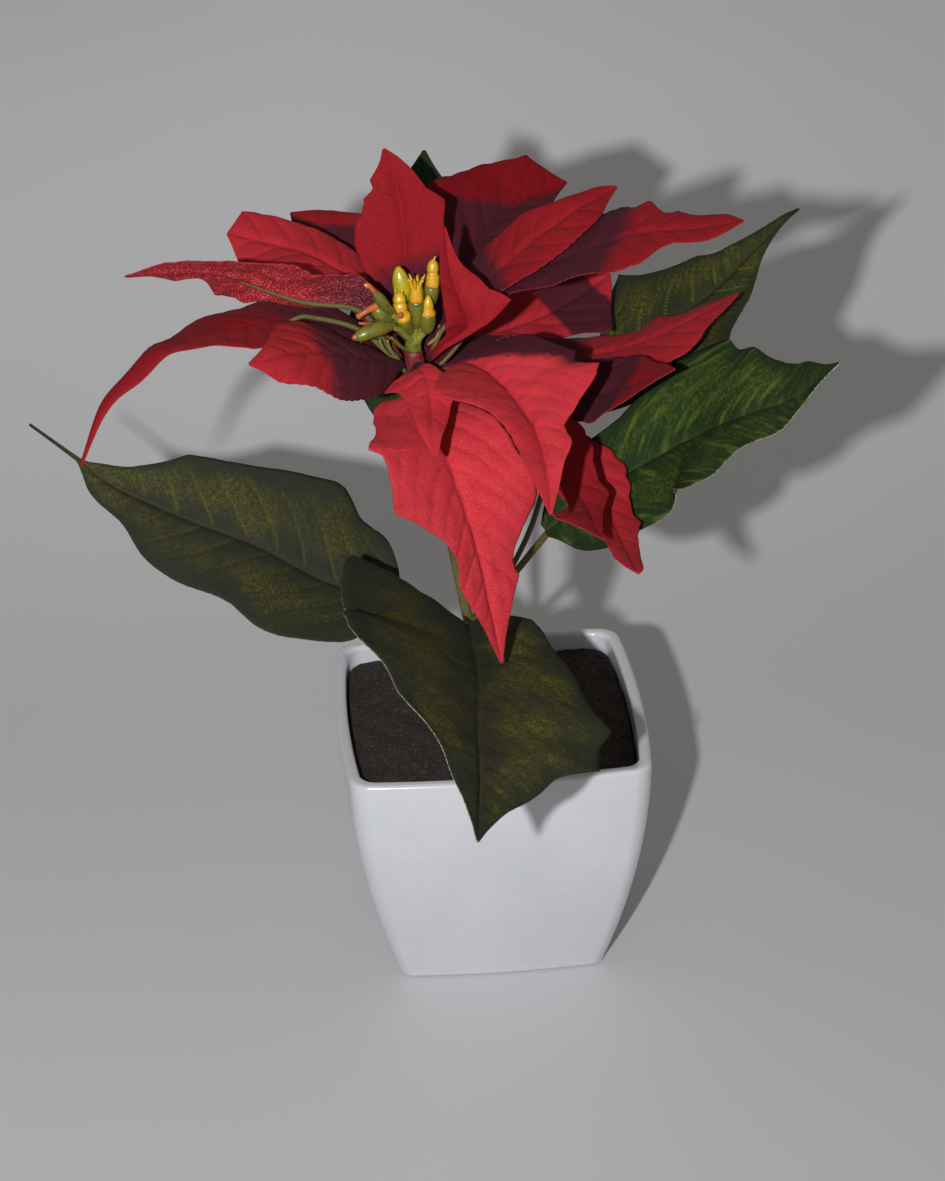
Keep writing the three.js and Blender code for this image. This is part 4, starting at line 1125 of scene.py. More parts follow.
@dataclass
class Blade:
    """One leaf or bract: waved cloth with pressed veins on a moulded rib."""

    name: str
    kind: Kind
    rib: Points
    face: tuple[float, float, float]
    roll: tuple[float, ...]
    fold: tuple[float, ...]
    right: Points
    left: Points
    seat: tuple[float, float] | None = None
    stain: tuple[float, float, float] = (0.0, 0.1, 0.0)
    band: tuple[float, float] = (2.0, 2.0)
    # tone: part dye, part painted shade, painted light below 0; glint: painted highlights.
    tone: tuple[float, float] = (0.0, 0.0)
    painted_glint: float = 0.0
    rib_start: float = 0.0
    rib_reach: float = 0.86
    rib_above: float = 0.0
    veins: VeinPattern = VeinPattern()
    rib_form: RibForm = RibForm()
    rows: int = 140
    half_columns: int = 20

    def middle_line(self) -> Points:
        """Works out the midrib; a bract's begins beside the boss.

        Returns:
            Its points.
        """
        if self.seat is None:
            return self.rib
        angle, height = math.radians(self.seat[0]), self.seat[1]
        share = (height - BOSS_FOOT[2]) / (BOSS_TOP[2] - BOSS_FOOT[2])
        x, y, z = (a + share * (b - a) for a, b in zip(BOSS_FOOT, BOSS_TOP))
        return [(x + BOSS_SEAT * math.cos(angle), y + BOSS_SEAT * math.sin(angle), z), *self.rib]

    def margin(self, points: Points, shares: np.ndarray, length: float, seed: int) -> np.ndarray:
        """Distance of one margin from the midrib, with its small scallops.

        Args:
            points: the margin's points.
            shares: places along the midrib.
            length: length of the midrib.
            seed: sets the scallops apart from the other margin's.

        Returns:
            The distances in millimetres.
        """
        full = [*([(0, ROOT_HALF)] if points[0][0] > 0 else []), *points, (1, TIP_HALF)]
        wide = Profile(full).at(shares)
        place = shares * length
        spot = np.stack([place, place * 0, place * 0], -1)
        wander = Grain(seed).at(spot, WANDER_SIZE)
        bumps = np.abs(np.sin(math.pi * (place / self.veins.scallop_length + 0.45 * wander)))
        fray = Grain(seed + 7).at(spot, FRAY_SIZE) * FRAY_DEPTH
        strength = np.clip((wide - PLAIN_HALF) / 8, 0, 1)
        return np.maximum(wide - (self.veins.scallop * (1 - bumps) - fray) * strength, LEAST_HALF)

    def surface(self) -> dict[str, np.ndarray]:
        """The middle surface and what is pressed into it.

        Returns:
            points, normals, relief and the values that the finish reads, each by row and column.
        """
        curve = Curve(self.middle_line())
        corners = [p[0] for p in (*self.right, *self.left) if len(p) > 2]
        shares = np.unique(np.concatenate([np.linspace(0, 1, self.rows + 1), corners]))
        even = np.linspace(-1, 1, 2 * self.half_columns + 1)
        columns = np.sign(even) * np.abs(even) ** CROWDING
        along = curve.along(shares)
        face = np.asarray(self.face, float)
        up = unit(face - (along @ face)[:, None] * along)
        across = np.cross(along, up)
        turn = np.radians(np.interp(shares, np.linspace(0, 1, len(self.roll)), self.roll))[:, None]
        tilt = np.radians(np.interp(shares, np.linspace(0, 1, len(self.fold)), self.fold))[:, None]
        normal = up * np.cos(turn) + across * np.sin(turn)
        side = across * np.cos(turn) - up * np.sin(turn)
        seed = sum(ord(letter) * (k + 3) for k, letter in enumerate(self.name))
        right = self.margin(self.right, shares, curve.length, seed)
        left = self.margin(self.left, shares, curve.length, seed + 50)
        across_shares = columns[None, :]
        width = np.where(across_shares > 0, right[:, None], left[:, None])
        out = across_shares * width
        far = np.abs(out)
        lead = np.where(across_shares > 0, 0, LEFT_PHASE)
        phase = 2 * math.pi * shares[:, None] * curve.length / RIPPLE_LENGTH + lead
        arch = 4 * CAMBER * far * (1 - np.abs(across_shares))
        wave = RIPPLE * np.minimum(width / RIPPLE_WIDTH, 1) * across_shares**2 * np.sin(phase)
        points = curve.at(shares)[:, None] + side[:, None] * (out * np.cos(tilt))[..., None]
        points = points + normal[:, None] * (far * np.sin(tilt) + arch + wave)[..., None]
        before, after = np.roll(points, 1, 0), np.roll(points, -1, 0)
        before[0], after[-1] = points[0], points[-1]
        leftwards, rightwards = np.roll(points, 1, 1), np.roll(points, -1, 1)
        leftwards[:, 0], rightwards[:, -1] = points[:, 0], points[:, -1]
        normals = unit(np.cross(rightwards - leftwards, after - before))
        pressed = self.relief(shares[:, None], across_shares, out, width, curve.length, seed)
        return {"points": points, "normals": normals, "shares": shares, "columns": columns, **pressed}

    def relief(
        self, shares: np.ndarray, columns: np.ndarray, out: np.ndarray, width: np.ndarray,
        length: float, seed: int,
    ) -> dict[str, np.ndarray]:
        """What is pressed into the cloth: grooves along the veins, puffed cells between them.

        Args:
            shares: places along the midrib, as one column.
            columns: places across, from -1 to 1, as one row.
            out: distance from the midrib, with its sign.
            width: distance of the margin on that side.
            length: length of the midrib.
            seed: sets this blade's small creases apart.

        Returns:
            The height in millimetres and the values for the finish.
        """
        v = self.veins
        far, place = np.abs(out), shares * length + out * 0
        spot = np.stack([place, out, out * 0 + seed % 97], -1)
        wide, fine = (Grain(seed + 1 + k).at(spot, size) * reach for k, (size, reach) in enumerate(DRIFTS))
        lane = (place - v.lean * far - v.curl * far**2 + (wide + fine)) / v.spacing
        lane = lane + np.where(out > 0, VEINS_APART, 0.0)
        off = np.abs((lane - np.round(lane)) * v.spacing)
        groove = np.exp(-((off * VEIN_SLANT / v.width) ** 2))
        puff = np.sin(math.pi * np.clip(off / (v.spacing / 2), 0, 1) / 2)
        fade = np.clip(far / MIDRIB_FADE, 0, 1) * (1 - np.abs(columns) ** MARGIN_FADE)
        fade = fade * np.clip(width / PUFF_WIDTH, 0.15, 1)
        rib = np.exp(-((far / RIB_GROOVE_HALF) ** 2)) * np.clip((1 - shares) * RIB_FADE, 0, 1)
        shoulder = np.exp(-(((far - SHOULDER_PLACE) / SHOULDER_HALF) ** 2))
        shoulder = shoulder * np.clip(width / SHOULDER_WIDTH - 0.6, 0, 1)
        large = Grain(seed + 3).at(spot * np.array(CREASE_STRETCH), CREASE_SIZES[0])
        crease = large + FINE_CREASE * Grain(seed + 4).at(spot, CREASE_SIZES[1])
        height = (v.puff * (puff - 0.5) - v.groove * groove) * fade
        height = height + v.crease * crease * np.clip(width / CREASE_WIDTH, 0.1, 1)
        height = height - v.rib_groove * rib * np.clip(width / RIB_WIDTH, 0.2, 1) + SHOULDER_RISE * shoulder
        end, soft, sway = self.stain
        stain = 1 - np.clip((shares + sway * columns - end + soft) / (2 * soft), 0, 1)
        begun = np.clip((shares - self.band[0]) / BAND_SOFTNESS, 0, 1)
        stain = np.maximum(stain, begun * np.clip((self.band[1] - shares) / BAND_SOFTNESS, 0, 1))
        zone = np.clip(np.sin(math.pi * np.clip(np.abs(columns) * 1.05, 0, 1)), 0, 1)
        zone = zone * np.clip(shares * ZONE_FADES[0], 0, 1) * np.clip((1 - shares) * ZONE_FADES[1], 0, 1)
        flow = np.stack([lane * v.spacing * MM, far * MM, np.where(out > 0, *SIDE_MARKS)], -1)
        vein = groove * fade
        return {"height": height, "vein": vein, "rib": rib, "stain": stain, "zone": zone, "flow": flow}

    def build(self, cloth: Material, edge: Material) -> Piece:
        """Makes the cloth.

        Args:
            cloth: the cloth's material.
            edge: the material of its cut edge.

        Returns:
            The piece.
        """
        made = self.surface()
        rows, columns = made["points"].shape[:2]
        thick = (CLOTH_HALF - CLOTH_THINNING * np.abs(made["columns"]) ** 4)[None, :, None]
        lift = made["height"][..., None]
        upper = made["points"] + made["normals"] * (lift + thick)
        lower = made["points"] + made["normals"] * (lift - thick)
        values = {key: made[key] for key in ("stain", "vein", "rib", "zone", "flow")}
        # Each half's tone, blended across the midrib: part dye, part painted shade, painted light below 0.
        blend = np.clip(0.5 + made["columns"] * TONE_BLEND, 0, 1)
        values["tone"] = np.tile(self.tone[0] * blend + self.tone[1] * (1 - blend), (rows, 1))
        values["painted_glint"] = np.full((rows, columns), self.painted_glint)
        body = Body()
        top = body.add(upper, **values)
        bottom = body.add(lower, **values)
        body.grid(top, rows, columns)
        body.grid(bottom, rows, columns, flip=True)
        last = columns - 1
        for i in range(1, rows):
            a, b = top + (i - 1) * columns, bottom + (i - 1) * columns
            body.face((a, a + columns, b + columns, b), 1, False)
            body.face((a + last + columns, a + last, b + last, b + last + columns), 1, False)
        end_top, end_bottom = top + (rows - 1) * columns, bottom + (rows - 1) * columns
        for j in range(last):
            body.face((top + j, bottom + j, bottom + j + 1, top + j + 1), 1, False)
            body.face((end_top + j + 1, end_bottom + j + 1, end_bottom + j, end_top + j), 1, False)
        piece = body.object(f"{self.name}_cloth", [cloth, edge])
        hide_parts(self.name)
        return piece

    def build_rib(self, material: Material, radius: float, lead: Points = ()) -> Piece:
        """Makes the moulded rib under the midrib, with the stalk that leads to it.

        Args:
            material: its material.
            radius: radius at the blade's foot.
            lead: points of the stalk before the blade.

        Returns:
            The piece.
        """
        made, form = self.surface(), self.rib_form
        reach = self.rib_reach
        start = form.stalk_start if lead else self.rib_start
        shares = np.linspace(start, reach, form.places)
        middle = [made[key][:, self.half_columns].T for key in ("points", "normals")]
        under, below = (
            np.stack([np.interp(shares, made["shares"], row) for row in line], -1) for line in middle
        )
        thin = radius * np.clip(1 - shares / reach, 0, 1) ** form.taper * form.fullness + form.tip
        side = np.where(shares < self.rib_above, -1.0, 1.0)
        under = under - unit(below) * (side * (thin * 0.92 + form.drop))[:, None]
        points = [*[tuple(map(float, p)) for p in lead], *[tuple(p) for p in under]]
        curve = Curve(points)
        blade_share = 1 - (curve.length - Curve(under).length) / curve.length if lead else 1.0
        begin = 1 - blade_share
        sizes = [(0.0, 0.9 * radius)]
        if lead:
            foot = max(begin * 0.97, 0.08)
            sizes = [(0.0, 1.35 * radius), (0.06, 1.02 * radius), (foot, 0.95 * radius)]
        far_sizes = zip(shares[4::4] - start, thin[4::4])
        sizes += [(begin + blade_share * share / (reach - start), size) for share, size in far_sizes]
        sizes = [size for k, size in enumerate(sizes) if k == 0 or size[0] > sizes[k - 1][0] + 0.01]
        if sizes[-1][0] < 0.99:
            sizes.append((1.0, form.end))
        body = Body()
        tube(body, points, sizes, form.sides, form.rings)
        piece = body.object(f"{self.name}_rib", [material])
        return piece


# Bracts whose cloth is pressed or cut unlike the others'.
BRACT_VEINS = {
    "bract_lower_5": VeinPattern(scallop=1.1, scallop_length=5.2),
    "bract_lower_6": VeinPattern(scallop=1.1, scallop_length=5.0),
    "bract_upper_5": VeinPattern(scallop=0.35, scallop_length=2.3),
    "bract_upper_2": VeinPattern(scallop_length=2.3),
    "bract_middle_2": VeinPattern(scallop=0.35, scallop_length=2.6),
    "bract_upper_4": VeinPattern(crease=0.75, scallop=0.6),
    "bract_middle_3": VeinPattern(puff=0.1, groove=0.15, lean=0.85, curl=0.035, crease=0.36),
    "bract_lower_1": VeinPattern(puff=0.2, crease=0.32),
}

LEAF_FINISHES = {
    "leaf_left": LeafFinish(
        "leaf_cloth_left", shade(44, 45, 35), shade(101, 100, 25), amount=0.44, thread=0.3, flowing=0.4
    ),
    "leaf_front": LeafFinish(
        "leaf_cloth_front", shade(46, 47, 35), shade(108, 108, 24), amount=0.6, line=shade(96, 80, 50),
        thread=0.12, flowing=0.35,
    ),
    "leaf_right": LeafFinish(
        "leaf_cloth_right", shade(31, 47, 19), shade(92, 112, 36), amount=0.62, line=shade(78, 92, 40),
        web=0.35, thread=0.18, streaks=0.5,
    ),
    "leaf_upper_right": LeafFinish(
        "leaf_cloth_upper_right", shade(42, 45, 25), shade(98, 98, 26), amount=0.65, line=shade(70, 66, 30),
        web=0.5, thread=0.6,
    ),
    "leaf_back": LeafFinish(
        "leaf_cloth_back", shade(26, 42, 18), shade(64, 84, 22), line=shade(60, 70, 30), web=0.5
    ),
}


@dataclass
class Blades:
    """All leaves and bracts of the plant."""

    leaf_veins: VeinPattern = VeinPattern(
        spacing=9.5, lean=0.7, curl=0.02, groove=0.16, width=0.6, puff=0.2, crease=0.2,
        scallop=0.12, scallop_length=8.0,
    )
    leaf_finishes: dict[str, LeafFinish] = field(default_factory=lambda: dict(LEAF_FINISHES))
    bract_rib: float = 0.7
    strong_ribs: dict[str, float] = field(default_factory=lambda: {"bract_upper_4": 0.95})

    def build(self) -> list[Piece]:
        """Makes every blade and its rib.

        Returns:
            The pieces.
        """
        pieces = []
        leaf_edge = EdgeFinish("leaf_cut_edge", shade(150, 152, 130), shade(70, 78, 50)).material()
        bract_edge = EdgeFinish("bract_cut_edge", shade(150, 48, 54), shade(120, 30, 36)).material()
        brown = StalkFinish("leaf_stalk", shade(78, 72, 36), shade(88, 62, 36)).material()
        green = StalkFinish("bract_rib", shade(88, 92, 50), shade(96, 80, 48)).material()
        for name, spec in LEAVES.items():
            blade = Blade(name=name, kind=Kind.LEAF, veins=self.leaf_veins, **spec)
            pieces.append(blade.build(self.leaf_finishes[name].material(), leaf_edge))
            path, radius = LEAF_STALKS[name]
            pieces.append(blade.build_rib(brown, radius, path))
        cloth = BractFinish().material()
        for name, spec in BRACTS.items():
            veins = BRACT_VEINS.get(name, VeinPattern())
            blade = Blade(name=name, kind=Kind.BRACT, veins=veins, **spec)
            pieces.append(blade.build(cloth, bract_edge))
            pieces.append(blade.build_rib(green, self.strong_ribs.get(name, self.bract_rib)))
        return pieces


# ------------------------------------------------------------------ stem


@dataclass
class Stem:
    """The main stalk with its dark collar and the boss that carries the bracts."""

    lower: float = 1.7
    upper: float = 1.4
    collar: float = 2.4
    collar_rings: tuple[tuple[float, float], ...] = ((0.448, 2.5), (0.462, 2.55), (0.476, 2.2))
    ring_half: float = 0.004
    ring_edge: float = 1.6
    furrows: int = 7
    furrow_depth: float = 0.08
    sides: int = 20

    def build(self) -> Piece:
        """Makes the stalk.

        Returns:
            The piece.
        """
        body, line = Body(), [*STEM_PATH, BOSS_FOOT]
        around, ridges = self.sides, {"lobes": self.furrows, "depth": self.furrow_depth}
        sizes = [
            (0, self.lower), (0.42, self.lower), (0.445, self.collar), (0.465, self.collar * 1.03),
            (0.485, 1.75), (0.52, self.upper), (0.75, self.upper * 1.03), (1, self.upper),
        ]
        tube(body, line, sizes, around, 110)
        for place, size in self.collar_rings:
            ends = Curve(line).at(np.array([place - self.ring_half, place, place + self.ring_half]))
            swell = [(0, self.ring_edge), (0.2, size), (0.8, size), (1, self.ring_edge)]
            tube(body, ends.tolist(), swell, around, 6, paint=1)
        way = np.array(BOSS_TOP) - np.array(BOSS_FOOT)
        low = (np.array(BOSS_FOOT) - way * 3 / way[2]).tolist()
        middle = (np.array(BOSS_FOOT) + way * 0.55).tolist()
        swell = [(0, self.upper), (0.3, BOSS_RADIUS * 0.92), (0.7, BOSS_RADIUS), (1, BOSS_RADIUS)]
        tube(body, [low, BOSS_FOOT, middle], swell, around, 18, **ridges)
        crown = [(0, BOSS_RADIUS), (0.8, BOSS_RADIUS * 0.98), (0.94, BOSS_RADIUS * 0.8), (1, 0.9)]
        tube(body, [middle, BOSS_TOP], crown, around, 16, paint=2, **ridges)
        green = StalkFinish("main_stalk", shade(98, 94, 40), shade(88, 74, 38)).material()
        dark = StalkFinish("stalk_collar", shade(44, 32, 26), shade(60, 44, 30)).material()
        foot = StalkFinish("bract_foot", shade(116, 30, 38), shade(80, 26, 34)).material()
        piece = body.object("main_stalk", [green, dark, foot])
        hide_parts("stem")
        return piece


# ------------------------------------------------------------------ flowers


class Tone(Enum):
    """Colours of the flower parts, in the order of their materials."""

    GREEN = 0
    PALE = 1
    YELLOW = 2
    ORANGE = 3
    PINK = 4
    LIME = 5


@dataclass(frozen=True)
class Part:
    """One moulded bit of a flower: its line, its radii, its colour."""

    path: Points
    sizes: Points
    tone: Tone
    lobes: int = 0
    depth: float = 0.0
    squash: float = 1.0


def directions(count: int, start: float) -> list[tuple[float, float]]:
    """Cosine and sine of evenly spread directions, the first at start degrees."""
    angles = [math.radians(360 / count * turn + start) for turn in range(count)]
    return [(math.cos(angle), math.sin(angle)) for angle in angles]


@dataclass
class Flowers:
    """The yellow-green cluster of small flowers at the centre."""

    sides: int = 18
    rings: int = 22

    def parts(self) -> list[Part]:
        """Every moulded bit.

        Returns:
            The bits, from the boss outwards.
        """
        stalk = [(0, 0.95), (0.5, 0.8), (1, 0.85)]
        cup = [(0, 0.75), (0.15, 1.35), (0.4, 1.9), (0.75, 2.12), (0.92, 2.05), (1, 1.6)]
        barrel = [
            (0, 1.5), (0.12, 1.95), (0.4, 2.05), (0.5, 1.78), (0.56, 1.72),
            (0.64, 1.85), (0.82, 1.5), (0.94, 0.9), (1, 0.25),
        ]
        tall = [
            (0, 1.6), (0.15, 1.95), (0.42, 1.95), (0.5, 1.5), (0.56, 1.45),
            (0.64, 1.62), (0.85, 1.35), (1, 0.3),
        ]
        pointed = [(0, 1.75), (0.12, 2.05), (0.25, 1.95), (0.3, 1.6), (0.55, 1.45), (0.85, 0.8), (1, 0.15)]
        drop = [(0, 0.9), (0.14, 1.9), (0.36, 2.4), (0.62, 2.25), (0.86, 1.5), (1, 0.5)]
        club = [(0, 0.75), (0.15, 1.25), (0.42, 1.95), (0.75, 1.85), (0.92, 1.35), (1, 0.55)]
        green, pale, yellow, orange, pink, lime = Tone
        bits = [
            Part([(-18.5, -14.7, 184.9), (-18.3, -15, 188.6)],
                 [(0, 2.3), (0.5, 2.25), (0.85, 1.8), (1, 1.0)], green, 6, 0.1),
            Part([(-18, -15, 187), (-17.3, -15.3, 191), (-16.5, -15.5, 195.4)],
                 [(0, 1.8), (0.3, 1.55), (0.7, 1.5), (0.9, 1.75), (1, 1.1)], pale),
            # the bulb that points left
            Part([(-18.3, -15.4, 186.5), (-21.5, -19.5, 192), (-24, -22, 194.5)], stalk, pale),
            Part([(-23.2, -21.3, 194.4), (-28.5, -24.5, 195), (-34, -26.2, 193.6)], club, green),
            Part([(-33.2, -25.9, 193.9), (-34.6, -26.3, 193.6)], [(0, 1.0), (0.6, 0.8), (1, 0.3)], pink),
            # the bulb with the orange tube
            Part([(-18.5, -15.4, 187), (-22, -19, 192), (-25, -20.5, 196)], stalk, pale),
            Part([(-24.3, -20.3, 195.2), (-26.6, -21.5, 198), (-28.6, -22.2, 200.4)],
                 [(0, 0.8), (0.25, 1.9), (0.6, 2.15), (0.88, 1.6), (1, 0.7)], green),
            Part([(-27.8, -22.6, 200.6), (-30.1, -23.8, 200.2), (-33.2, -24.6, 198.6)],
                 [(0, 1.0), (0.25, 0.85), (0.75, 0.75), (0.92, 0.85), (1, 0.4)], orange),
            Part([(-24.4, -20.9, 194.6), (-28, -22.6, 195.6), (-32.6, -24.2, 196.9)],
                 [(0, 0.45), (0.5, 0.62), (1, 0.35)], pink),
            # the slender one behind
            Part([(-18.8, -15, 187), (-21.5, -19.5, 194), (-24, -21.8, 198)], stalk, pale),
            Part([(-23.6, -21.4, 197.5), (-26, -23.8, 201.4), (-28.6, -25.2, 206)],
                 [(0, 0.75), (0.3, 1.15), (0.65, 1.45), (0.9, 0.95), (1, 0.5)], green),
            Part([(-28.3, -25.1, 205.6), (-29.6, -25.7, 207.4), (-31, -26.2, 208.2)],
                 [(0, 0.75), (0.4, 0.6), (0.75, 0.75), (1, 0.3)], orange),
            # front left: a barrel in a cup
            Part([(-18.4, -15.4, 187), (-20.5, -17, 191)], stalk, pale),
            Part([(-20.4, -17, 190), (-21.1, -17.4, 193.4), (-21.5, -17.6, 196.4)], cup, green),
            Part([(-21.4, -17.5, 195.6), (-21.8, -17.1, 202)], barrel, yellow, 5, 0.1),
            # the open ring in front of it
            Part([(-19.4, -17.6, 190.6), (-20.4, -19, 193.6), (-21, -19.9, 196)],
                 [(0, 0.8), (0.3, 1.7), (0.8, 1.9), (1, 1.5)], green),
            Part([(-20.8, -19.6, 195.3), (-21.2, -20.3, 197)],
                 [(0, 1.5), (0.4, 2.0), (0.8, 1.85), (1, 1.2)], yellow),
            Part([(-21.6, -20.6, 196.6), (-22.1, -21.4, 197.6)], [(0, 0.8), (0.5, 0.85), (1, 0.4)], pink),
            # the pointed bud
            Part([(-18.4, -14.5, 187), (-20.2, -13.6, 199)], stalk, pale),
            Part([(-19.9, -13.6, 197.4), (-20.7, -13.4, 201.5), (-21.6, -13.2, 207.2)],
                 drop, lime, 3, 0.06),
            # the crown
            Part([(-18, -15.4, 187), (-17.6, -17, 192.5)], stalk, pale),
            Part([(-17.6, -17, 191.8), (-17.5, -17.6, 196), (-17.5, -18, 200)], cup, green),
            Part([(-17.5, -18, 199.2), (-17.3, -18, 204.6)],
                 [(0, 1.75), (0.2, 2.0), (0.55, 1.85), (0.8, 1.6), (1, 0.9)], yellow, 5, 0.12),
            # right: a tall two-step barrel
            Part([(-17.8, -14.5, 187), (-14.5, -14, 196)], stalk, pale),
            Part([(-14.8, -14, 195), (-13.8, -13.8, 198.4), (-13, -13.5, 201.6)], cup, green),
            Part([(-13.05, -13.5, 200.8), (-12.7, -12.8, 205), (-12.5, -12.4, 208.4)],
                 tall, yellow, 5, 0.08),
            Part([(-12.6, -12.5, 207.6), (-11.9, -12.3, 209.2)], [(0, 0.5), (1, 0.1)], yellow),
            # front right: a pointed barrel with a lip
            Part([(-17.8, -15.5, 187), (-15, -17, 191)], stalk, pale),
            Part([(-15.1, -16.9, 190), (-14.7, -17.4, 193), (-14.6, -17.5, 195.8)], cup, green),
            Part([(-14.6, -17.5, 194.9), (-14.5, -17.5, 197.6), (-14.3, -17.5, 200.8)],
                 pointed, yellow, 3, 0.08),
            # loose stalks at the foot
            Part([(-24.4, -20.6, 191), (-21.6, -18, 186.9), (-18.6, -15.8, 184.6)],
                 [(0, 0.5), (0.3, 0.75), (0.8, 0.6), (1, 0.6)], green, squash=0.7),
            Part([(-27.4, -21.2, 190.6), (-26.4, -19.7, 187.6), (-24.8, -18, 185)],
                 [(0, 0.35), (0.5, 0.45), (1, 0.4)], pale, squash=0.6),
            Part([(-25.3, -20.6, 190.2), (-24.8, -19, 187.4), (-23.8, -17.8, 185)],
                 [(0, 0.3), (0.5, 0.4), (1, 0.4)], pale, squash=0.6),
            Part([(-11.4, -13, 190.4), (-12.2, -13.2, 187.5), (-14.6, -13.8, 185.4)],
                 [(0, 0.5), (0.5, 0.9), (1, 0.6)], pale, squash=0.5),
        ]
        for turn, (x, y) in enumerate(directions(6, 15)):
            foot = (-17.4 + 1.1 * x, -18 + 1.1 * y, 203.4)
            bend = (-17.35 + 1.9 * x, -18 + 1.9 * y, 205.6)
            tip = (-17.3 + 2.4 * x, -18 + 2.4 * y, 206.4 - 1.0 * (turn % 2))
            bits.append(Part([foot, bend, tip], [(0, 0.75), (0.5, 0.65), (1, 0.2)], yellow, squash=0.7))
        for x, y in directions(4, 40):
            foot, tip = (-21.8 + 0.9 * x, -17.1 + 0.9 * y, 200.6), (-21.8 + 1.3 * x, -17.1 + 1.3 * y, 202.3)
            bits.append(Part([foot, tip], [(0, 0.5), (1, 0.15)], yellow))
        return bits

    def build(self) -> Piece:
        """Makes the cluster.

        Returns:
            The piece.
        """
        body = Body()
        for part in self.parts():
            form = (part.tone.value, part.lobes, part.depth, part.squash)
            tube(body, part.path, part.sizes, self.sides, self.rings, *form)
        finishes = [
            WaxyFinish("flower_green", shade(108, 108, 34), shade(88, 92, 32)),
            WaxyFinish("flower_pale", shade(132, 136, 58), shade(116, 118, 44), 0.3),
            WaxyFinish("flower_yellow", shade(190, 160, 14), shade(200, 142, 18), 0.3),
            WaxyFinish("flower_orange", shade(186, 104, 56), shade(150, 70, 46), 0.3),
            WaxyFinish("flower_pink", shade(170, 84, 60), shade(134, 56, 44), 0.3),
            WaxyFinish("flower_lime", shade(152, 148, 24), shade(178, 158, 20), 0.25),
        ]
        piece = body.object("flower_cluster", [finish.material() for finish in finishes])
        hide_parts("cyathia")
        return piece


# ------------------------------------------------------------------ pot and soil


def quarter_turn(steps: int) -> list[tuple[float, float]]:
    """Cosine and sine of the angles of a quarter turn."""
    angles = [math.pi / 2 * k / steps for k in range(steps + 1)]
    return [(math.cos(angle), math.sin(angle)) for angle in angles]


@dataclass
class Pot:
    """The glazed pot: rounded square, bowed sides, widening upwards."""

    height: float = 70.0
    rim_half: float = 42.5
    base_half: float = 29.5
    swell: float = 1.8
    corner: float = 0.11
    bow: float = 0.05
    wall: float = 3.3
    floor: float = 5.0
    lip: float = 1.2
    foot: float = 1.5
    side_steps: int = 40
    corner_steps: int = 14
    foot_steps: int = 6
    lip_steps: int = 8
    outer_levels: int = 46
    inner_levels: int = 26

    def plan(self) -> np.ndarray:
        """The outline seen from above, with half width 1.

        Returns:
            Rows of x and y.
        """
        flat = 1 - self.corner
        quarter = [(1.0, flat * (2 * k / self.side_steps - 1)) for k in range(self.side_steps)]
        for k in range(self.corner_steps):
            angle = math.pi * k / (2 * self.corner_steps)
            quarter.append((flat + self.corner * math.cos(angle), flat + self.corner * math.sin(angle)))
        outline = []
        for turn in range(4):
            c, s = round(math.cos(turn * math.pi / 2)), round(math.sin(turn * math.pi / 2))
            outline += [(x * c - y * s, x * s + y * c) for x, y in quarter]
        flat_plan = np.array(outline)
        x, y = flat_plan[:, 0], flat_plan[:, 1]
        return np.stack([x * (1 - self.bow * y * y), y * (1 - self.bow * x * x)], -1)

    def half(self, z: float) -> float:
        """Half width of the outside at a height."""
        low = 1 - z / self.height
        return self.base_half + (self.rim_half - self.base_half) * (1 - low**self.swell)

    def inside(self, z: float) -> float:
        """Half width of the inside at a height."""
        return self.half(z) - self.wall

    def build(self) -> Piece:
        """Makes the pot.

        Returns:
            The piece.
        """
        plan = self.plan()
        top, lip, foot = self.height, self.lip, self.foot
        under = self.half(foot) - foot
        outer, inner = self.rim_half - lip, self.rim_half - self.wall + lip
        profile = [(self.half(0) - foot - 3 + k, 0.0) for k in range(3)]
        profile += [(under + foot * s, foot - foot * c) for c, s in quarter_turn(self.foot_steps)]
        profile += [(self.half(z), z) for z in np.linspace(foot + 1, top - lip - 0.4, self.outer_levels)]
        profile += [(outer + lip * c, top - lip + lip * s) for c, s in quarter_turn(self.lip_steps)]
        profile += [(inner - lip * s, top - lip + lip * c) for c, s in quarter_turn(self.lip_steps)]
        deep = np.linspace(top - lip - 0.8, self.floor + 1.2, self.inner_levels)
        profile += [(self.inside(z), z) for z in deep]
        bed = self.inside(self.floor)
        profile += [(bed - 0.5, self.floor + 0.3), (bed - 1.5, self.floor)]
        body = Body()
        rings = [level(plan * half, z) for half, z in profile]
        body.skin(rings, (0, 0, 0), (0, 0, self.floor))
        piece = body.object("glazed_pot", [GlazeFinish().material()])
        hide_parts("pot")
        return piece


def level(outline: np.ndarray, height: float | np.ndarray) -> np.ndarray:
    """An outline seen from above, lifted to a height."""
    return np.column_stack([outline, np.full(len(outline), height)])


GOLD = (1 + 5**0.5) / 2
CRUMB_CORNERS = [
    (-1, GOLD, 0), (1, GOLD, 0), (-1, -GOLD, 0), (1, -GOLD, 0), (0, -1, GOLD), (0, 1, GOLD),
    (0, -1, -GOLD), (0, 1, -GOLD), (GOLD, 0, -1), (GOLD, 0, 1), (-GOLD, 0, -1), (-GOLD, 0, 1),
]
CRUMB_SIDES = [
    (0, 11, 5), (0, 5, 1), (0, 1, 7), (0, 7, 10), (0, 10, 11), (1, 5, 9), (5, 11, 4), (11, 10, 2),
    (10, 7, 6), (7, 1, 8), (3, 9, 4), (3, 4, 2), (3, 2, 6), (3, 6, 8), (3, 8, 9), (4, 9, 5),
    (2, 4, 11), (6, 2, 10), (8, 6, 7), (9, 8, 1),
]


